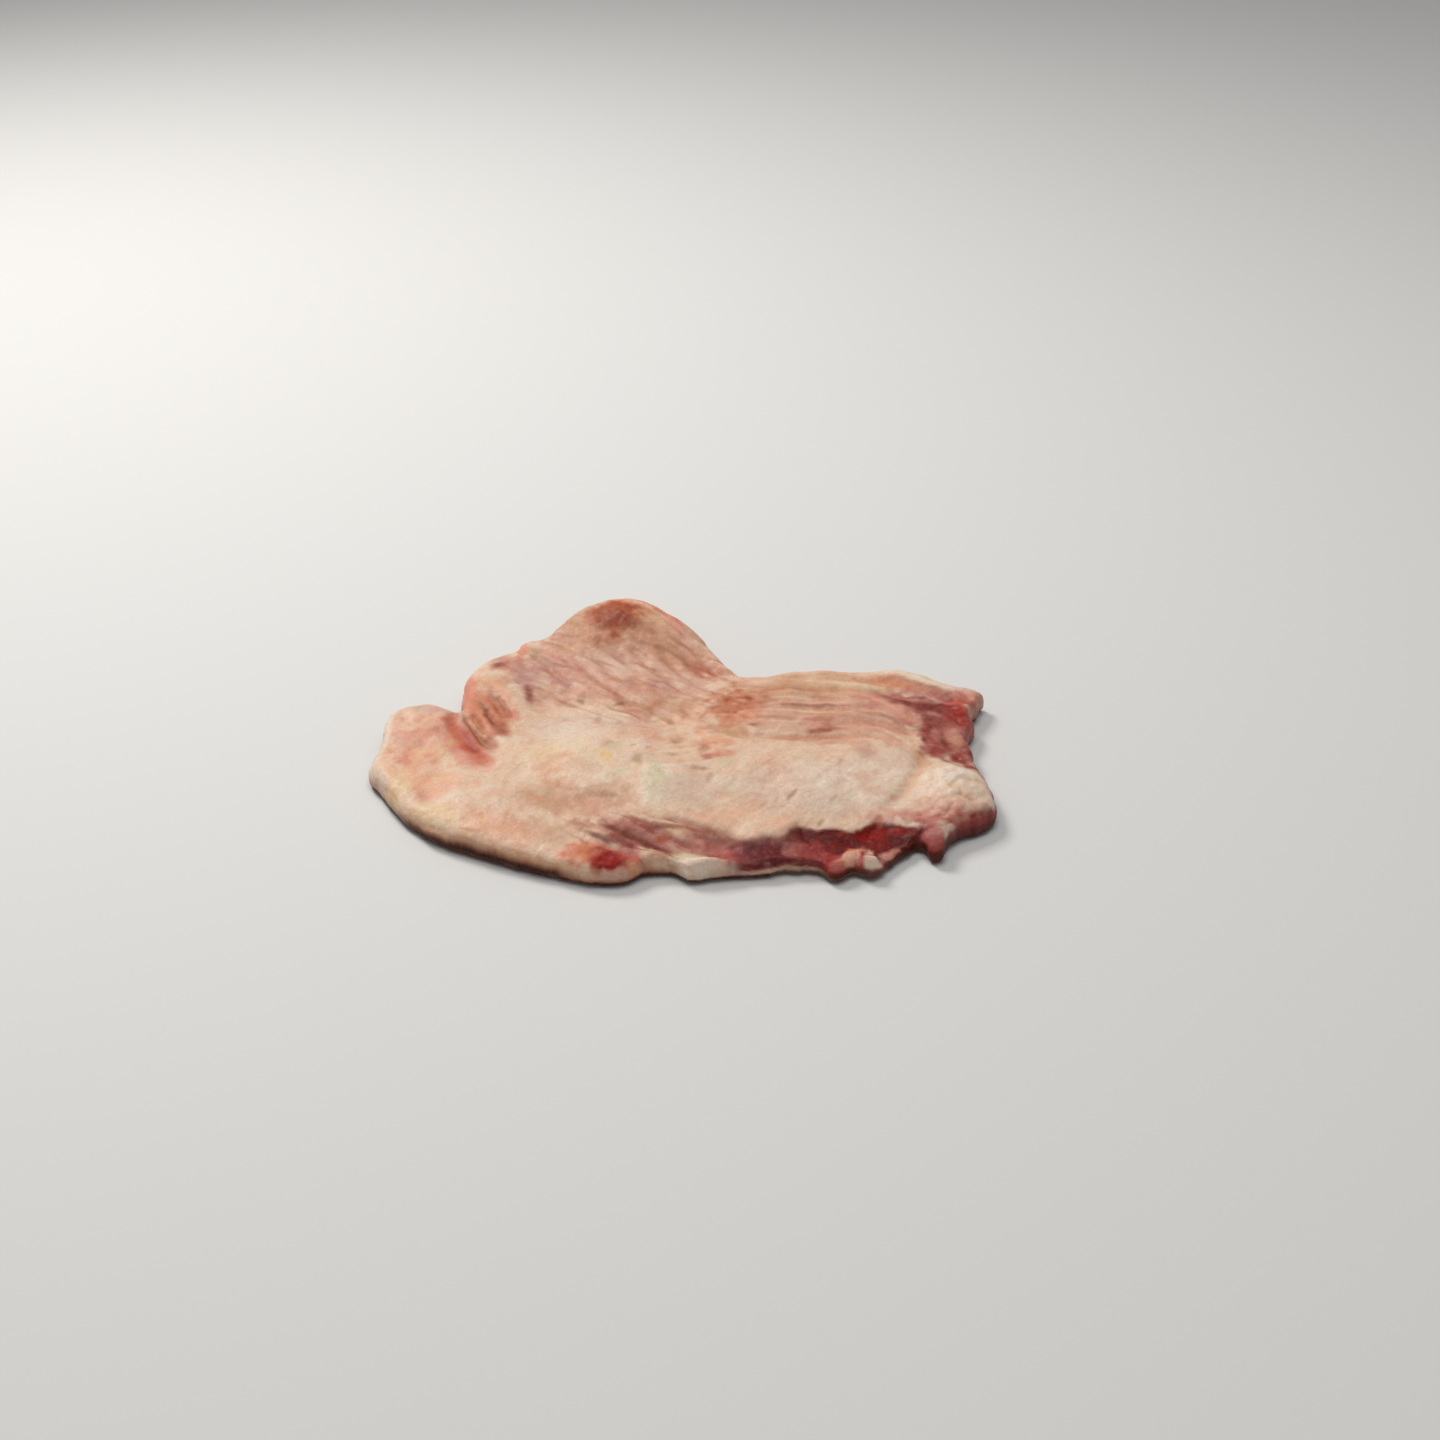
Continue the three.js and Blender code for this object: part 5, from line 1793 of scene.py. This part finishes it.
    def lumped(self, places: Array, faces: Array, lean: Array) -> Array:
        """The vertices moved along their normals by noise in space, and none below the resting plane.

        The sum of round lumps, which are larger on lean, and flat layers, which show only on steep sides.

        Args:
            places: Every vertex.
            faces: Three vertex numbers for each triangle.
            lean: Leanness of each vertex.

        Returns:
            The moved vertices.
        """
        noise = GradientNoise(self.seed + 1)
        x, y, z = places.T
        normals = self.normals(places, faces)
        (large, large_rise), (small, small_rise) = self.lumps
        lumps = large_rise * noise.layered(x / large, y / large, z / large, 2)
        lumps += small_rise * noise.at(x / small, y / small, z / small)
        steep = smoothstep(0.8, 0.4, np.abs(normals[:, 2]))
        length, height, rise = self.side_layers
        layers = rise * noise.layered(x / length, y / length, z / height + 40.5, 2)
        moved = places + normals * (lumps * (0.6 + 1.2 * lean) + layers * steep)[:, None]
        rest = smoothstep(0.0, 1.5, z)
        moved[:, 2] = np.maximum(places[:, 2] + (moved[:, 2] - places[:, 2]) * rest, 0)
        return moved

    def dressed(self, places: Array, faces: list[list[int]], tone: Array, lean: Array) -> bpy.types.Object:
        """The object with its colours, its finish and its part in the frame.

        Args:
            places: Vertices in metres, also ones that no face uses.
            faces: Vertex numbers of each face.
            tone: Linear colour of each vertex.
            lean: Leanness of each vertex.

        Returns:
            The object.
        """
        wanted = np.unique(np.concatenate(faces))
        number = np.full(len(places), -1)
        number[wanted] = np.arange(len(wanted))
        places, tone, lean = places[wanted], tone[wanted], lean[wanted]
        mesh = bpy.data.meshes.new("jowl_meat")
        mesh.from_pydata(places, [], [number[face].tolist() for face in faces])
        mesh.polygons.foreach_set("use_smooth", np.ones(len(faces), dtype=bool))
        colours = mesh.attributes.new("tone", "FLOAT_COLOR", "POINT")
        colours.data.foreach_set("color", np.hstack([tone, np.ones((len(tone), 1))]).ravel())
        leanness = mesh.attributes.new("lean", "FLOAT", "POINT")
        leanness.data.foreach_set("value", lean)
        mesh.update()
        piece = bpy.data.objects.new("jowl_meat", mesh)
        bpy.context.collection.objects.link(piece)
        mesh.materials.append(MeatFinish().material())
        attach(piece, BODY)
        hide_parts(NODE)
        return piece


@dataclass(frozen=True)
class Nodes:
    """A material's node tree, with short ways to add and link nodes.

    Attributes:
        tree: The node tree.
    """

    tree: bpy.types.NodeTree

    def add(self, kind: str, **values: object) -> bpy.types.Node:
        """Adds a node.

        Args:
            kind: Its type without the ShaderNode that all share.
            values: Properties of the node, or sockets by their names with underscores for spaces.

        Returns:
            The node.
        """
        node = self.tree.nodes.new("ShaderNode" + kind)
        for name, value in values.items():
            if hasattr(node, name):
                setattr(node, name, value)
            else:
                node.inputs[name.replace("_", " ")].default_value = value
        return node

    def link(self, source: Socket, target: Socket) -> None:
        """Links two sockets."""
        self.tree.links.new(source, target)

    def ramp(self, source: Socket, low: float, high: float, to_low: float, to_high: float) -> Socket:
        """A value mapped from one range to another, clamped.

        Args:
            source: The value.
            low: Start of its range.
            high: End of its range.
            to_low: What low becomes.
            to_high: What high becomes.

        Returns:
            The mapped value.
        """
        node = self.add("MapRange")
        self.link(source, node.inputs["Value"])
        for name, value in (("From Min", low), ("From Max", high), ("To Min", to_low), ("To Max", to_high)):
            node.inputs[name].default_value = value
        return node.outputs["Result"]

    def mixed(self, factor: Socket, a: Socket, b: Array, blend: str = "MIX") -> Socket:
        """A colour mixed with a fixed one.

        Args:
            factor: The fixed colour's share.
            a: The colour.
            b: The fixed colour.
            blend: How they are mixed.

        Returns:
            The mixture.
        """
        node = self.add("Mix", data_type="RGBA", blend_type=blend)
        self.link(factor, node.inputs["Factor"])
        colours = [socket for socket in node.inputs if socket.type == "RGBA"]
        self.link(a, colours[0])
        colours[1].default_value = (*b, 1)
        return next(socket for socket in node.outputs if socket.type == "RGBA")


@dataclass(frozen=True)
class MeatFinish:
    """Moist raw meat: the tissue colours with fine grain, lobes of fat, a wet film and light that enters it.

    Attributes:
        fat_roughness: Roughness of fat.
        lean_roughness: Roughness of lean.
        grain_roughness: How much the grain adds to it or takes from it.
        subsurface: The share of light that enters.
        subsurface_scale: How deep it goes, in metres.
        subsurface_radius: How deep red, green and blue go, as shares of that.
        coat: The wet film's share.
        coat_roughness: The wet film's roughness.
        fat_specular: Gloss of fat.
        lean_specular: Gloss of lean.
        mean_specular: Gloss where one number stands for all.
        bump_distance: Height of the bumps in metres.
        grain_scale: Cells of the grain to the metre.
        speck_scale: Cells of the specks to the metre.
        cloud_scale: Cells of the pale clouds to the metre.
        lobe_scale: Small lobes of fat to the metre.
    """

    fat_roughness: float = 0.5
    lean_roughness: float = 0.48
    grain_roughness: float = 0.09
    subsurface: float = 0.2
    subsurface_scale: float = 0.0016
    subsurface_radius: tuple[float, float, float] = (1.0, 0.38, 0.24)
    coat: float = 0.04
    coat_roughness: float = 0.3
    fat_specular: float = 0.3
    lean_specular: float = 0.1
    mean_specular: float = 0.22
    bump_distance: float = 0.0005
    grain_scale: float = 900.0
    speck_scale: float = 2600.0
    cloud_scale: float = 260.0
    lobe_scale: float = 420.0

    def material(self) -> bpy.types.Material:
        """The material, made of nodes.

        Returns:
            The material.
        """
        made = bpy.data.materials.new("raw_jowl_meat")
        made.use_nodes = True
        made.node_tree.nodes.clear()
        nodes = Nodes(made.node_tree)
        shader = nodes.add(
            "BsdfPrincipled",
            Subsurface_Weight=self.subsurface,
            Subsurface_Scale=self.subsurface_scale,
            Subsurface_Radius=self.subsurface_radius,
            Coat_Weight=self.coat,
            Coat_Roughness=self.coat_roughness,
            Specular_IOR_Level=self.mean_specular,
        )
        out = nodes.add("OutputMaterial")
        nodes.link(shader.outputs["BSDF"], out.inputs["Surface"])
        place = nodes.add("TexCoord").outputs["Object"]
        tone = nodes.add("Attribute", attribute_name="tone").outputs["Color"]
        lean = nodes.add("Attribute", attribute_name="lean").outputs["Fac"]
        grain = self.noise(nodes, place, self.grain_scale, 4.0)
        specks = self.noise(nodes, place, self.speck_scale, 2.0)
        clouds = self.noise(nodes, place, self.cloud_scale, 3.0)
        veil = nodes.add("Math", operation="MULTIPLY")
        nodes.link(nodes.ramp(grain, 0.35, 0.7, 0.0, 0.22), veil.inputs[0])
        nodes.link(nodes.ramp(lean, 0.0, 1.0, 1.0, 0.3), veil.inputs[1])
        colour = nodes.mixed(veil.outputs[0], tone, linear(T.ROSE_FILM.value))
        pale = nodes.ramp(clouds, 0.5, 0.75, 0.0, 0.25)
        colour = nodes.mixed(pale, colour, linear(T.WHITE_FAT.value), "SOFT_LIGHT")
        dark = nodes.ramp(specks, 0.55, 0.8, 0.0, 0.3)
        colour = nodes.mixed(dark, colour, linear(T.TAN_FILM.value), "MULTIPLY")
        nodes.link(colour, shader.inputs["Base Color"])
        rough = nodes.add("Math", operation="ADD")
        nodes.link(nodes.ramp(lean, 0.0, 1.0, self.fat_roughness, self.lean_roughness), rough.inputs[0])
        nodes.link(nodes.ramp(grain, 0.3, 0.7, -self.grain_roughness, self.grain_roughness), rough.inputs[1])
        nodes.link(rough.outputs[0], shader.inputs["Roughness"])
        gloss = nodes.ramp(lean, 0.0, 1.0, self.fat_specular, self.lean_specular)
        nodes.link(gloss, shader.inputs["Specular IOR Level"])
        nodes.link(self.bump(nodes, place, grain, specks), shader.inputs["Normal"])
        return made

    @staticmethod
    def noise(nodes: Nodes, place: Socket, scale: float, detail: float) -> Socket:
        """Noise in the piece's own space.

        Args:
            nodes: The material's nodes.
            place: Where a point lies on the piece.
            scale: Cells to the metre.
            detail: How many finer sizes are added.

        Returns:
            The noise's value.
        """
        node = nodes.add("TexNoise", Scale=scale, Detail=detail)
        nodes.link(place, node.inputs["Vector"])
        return node.outputs["Fac"]

    def bump(self, nodes: Nodes, place: Socket, grain: Socket, specks: Socket) -> Socket:
        """Fine bumps: small lobes of fat, then grain, then specks.

        Args:
            nodes: The material's nodes.
            place: Where a point lies on the piece.
            grain: The grain's value there.
            specks: The specks' value there.

        Returns:
            The bumped normal.
        """
        lobes = nodes.add("TexVoronoi", Scale=self.lobe_scale, feature="SMOOTH_F1")
        nodes.link(place, lobes.inputs["Vector"])
        normal = None
        for height, strength, distance in (
            (lobes.outputs["Distance"], 0.35, self.bump_distance),
            (grain, 0.45, self.bump_distance),
            (specks, 0.3, 0.4 * self.bump_distance),
        ):
            node = nodes.add("Bump", Strength=strength, Distance=distance)
            nodes.link(height, node.inputs["Height"])
            if normal is not None:
                nodes.link(normal, node.inputs["Normal"])
            normal = node.outputs["Normal"]
        return normal


@dataclass(frozen=True)
class Lamp:
    """A soft square lamp.

    Attributes:
        name: Its name.
        at: Its place in metres.
        size: Its side in metres.
        power: In watts.
        colour: Of its light.
    """

    name: str
    at: tuple[float, float, float]
    size: float
    power: float
    colour: tuple[float, float, float]

    def build(self) -> None:
        """Adds the lamp, turned to the middle of the piece's resting face."""
        light = bpy.data.lights.new(self.name, "AREA")
        light.energy, light.size, light.color = self.power, self.size, self.colour
        lamp = bpy.data.objects.new(self.name, light)
        lamp.location = self.at
        lamp.rotation_euler = (Vector((0, 0, 0)) - Vector(self.at)).to_track_quat("-Z", "Y").to_euler()
        bpy.context.collection.objects.link(lamp)


@dataclass
class Studio:
    """A plain pale floor, soft light from behind and above, and the camera.

    Attributes:
        floor_half: Half the floor's side in metres.
        floor_drop: How far it lies below the resting plane, in metres.
        floor_colour: Its colour.
        floor_roughness: Its roughness.
        world_colour: Colour of the light from all round.
        world_strength: Its strength.
        camera_at: The camera's place in metres.
        camera_tilt: Its tilt up from straight down, in degrees.
        lens: Its focal length in millimetres.
        sensor: Its picture's width in millimetres.
        nearest_seen: How near to the camera things show, in metres.
        lamps: The lamps.
    """

    floor_half: float = 3.0
    floor_drop: float = 1e-5
    floor_colour: Colour = (222, 220, 216)
    floor_roughness: float = 0.75
    world_colour: Colour = (236, 238, 242)
    world_strength: float = 0.32
    camera_at: tuple[float, float, float] = (0.012298, -0.568053, 0.361245)
    camera_tilt: float = 58.3044
    lens: float = 47.125
    sensor: float = 36.0
    nearest_seen: float = 0.01
    lamps: tuple[Lamp, ...] = (
        Lamp("window", (-0.6, 0.7, 0.95), 0.4, 10.0, (1.0, 0.985, 0.96)),
        Lamp("ceiling", (0.0, 0.0, 1.3), 0.8, 5.5, (1.0, 1.0, 1.0)),
    )

    def build(self) -> None:
        """Adds the floor, the light and the camera."""
        self.floor()
        for lamp in self.lamps:
            lamp.build()
        world = bpy.data.worlds.new("soft_room")
        world.use_nodes = True
        sky = world.node_tree.nodes["Background"]
        sky.inputs["Color"].default_value = (*linear(self.world_colour), 1)
        sky.inputs["Strength"].default_value = self.world_strength
        bpy.context.scene.world = world
        self.camera()
        bpy.context.scene.view_settings.view_transform = "Standard"

    def floor(self) -> None:
        """Adds the floor, just under the resting plane."""
        h, z = self.floor_half, -self.floor_drop
        mesh = bpy.data.meshes.new("floor")
        mesh.from_pydata([(-h, -h, z), (h, -h, z), (h, h, z), (-h, h, z)], [], [(0, 1, 2, 3)])
        floor = bpy.data.objects.new("floor", mesh)
        bpy.context.collection.objects.link(floor)
        finish = bpy.data.materials.new("pale_floor")
        finish.use_nodes = True
        shader = finish.node_tree.nodes["Principled BSDF"]
        shader.inputs["Base Color"].default_value = (*linear(self.floor_colour), 1)
        shader.inputs["Roughness"].default_value = self.floor_roughness
        mesh.materials.append(finish)

    def camera(self) -> None:
        """Adds the camera and makes it the scene's own."""
        lens = bpy.data.cameras.new("camera")
        lens.sensor_width, lens.lens = self.sensor, self.lens
        lens.clip_start = self.nearest_seen
        camera = bpy.data.objects.new("camera", lens)
        camera.location = self.camera_at
        camera.rotation_euler = (math.radians(self.camera_tilt), 0, 0)
        bpy.context.collection.objects.link(camera)
        bpy.context.scene.camera = camera


def main() -> None:
    """Builds the piece and the studio."""
    logging.basicConfig(level=logging.INFO, format="%(name)s: %(message)s")
    Studio().build()
    piece = Jowl().build()
    log.info("%s: %d faces", piece.name, len(piece.data.polygons))


if __name__ == "__main__":
    main()
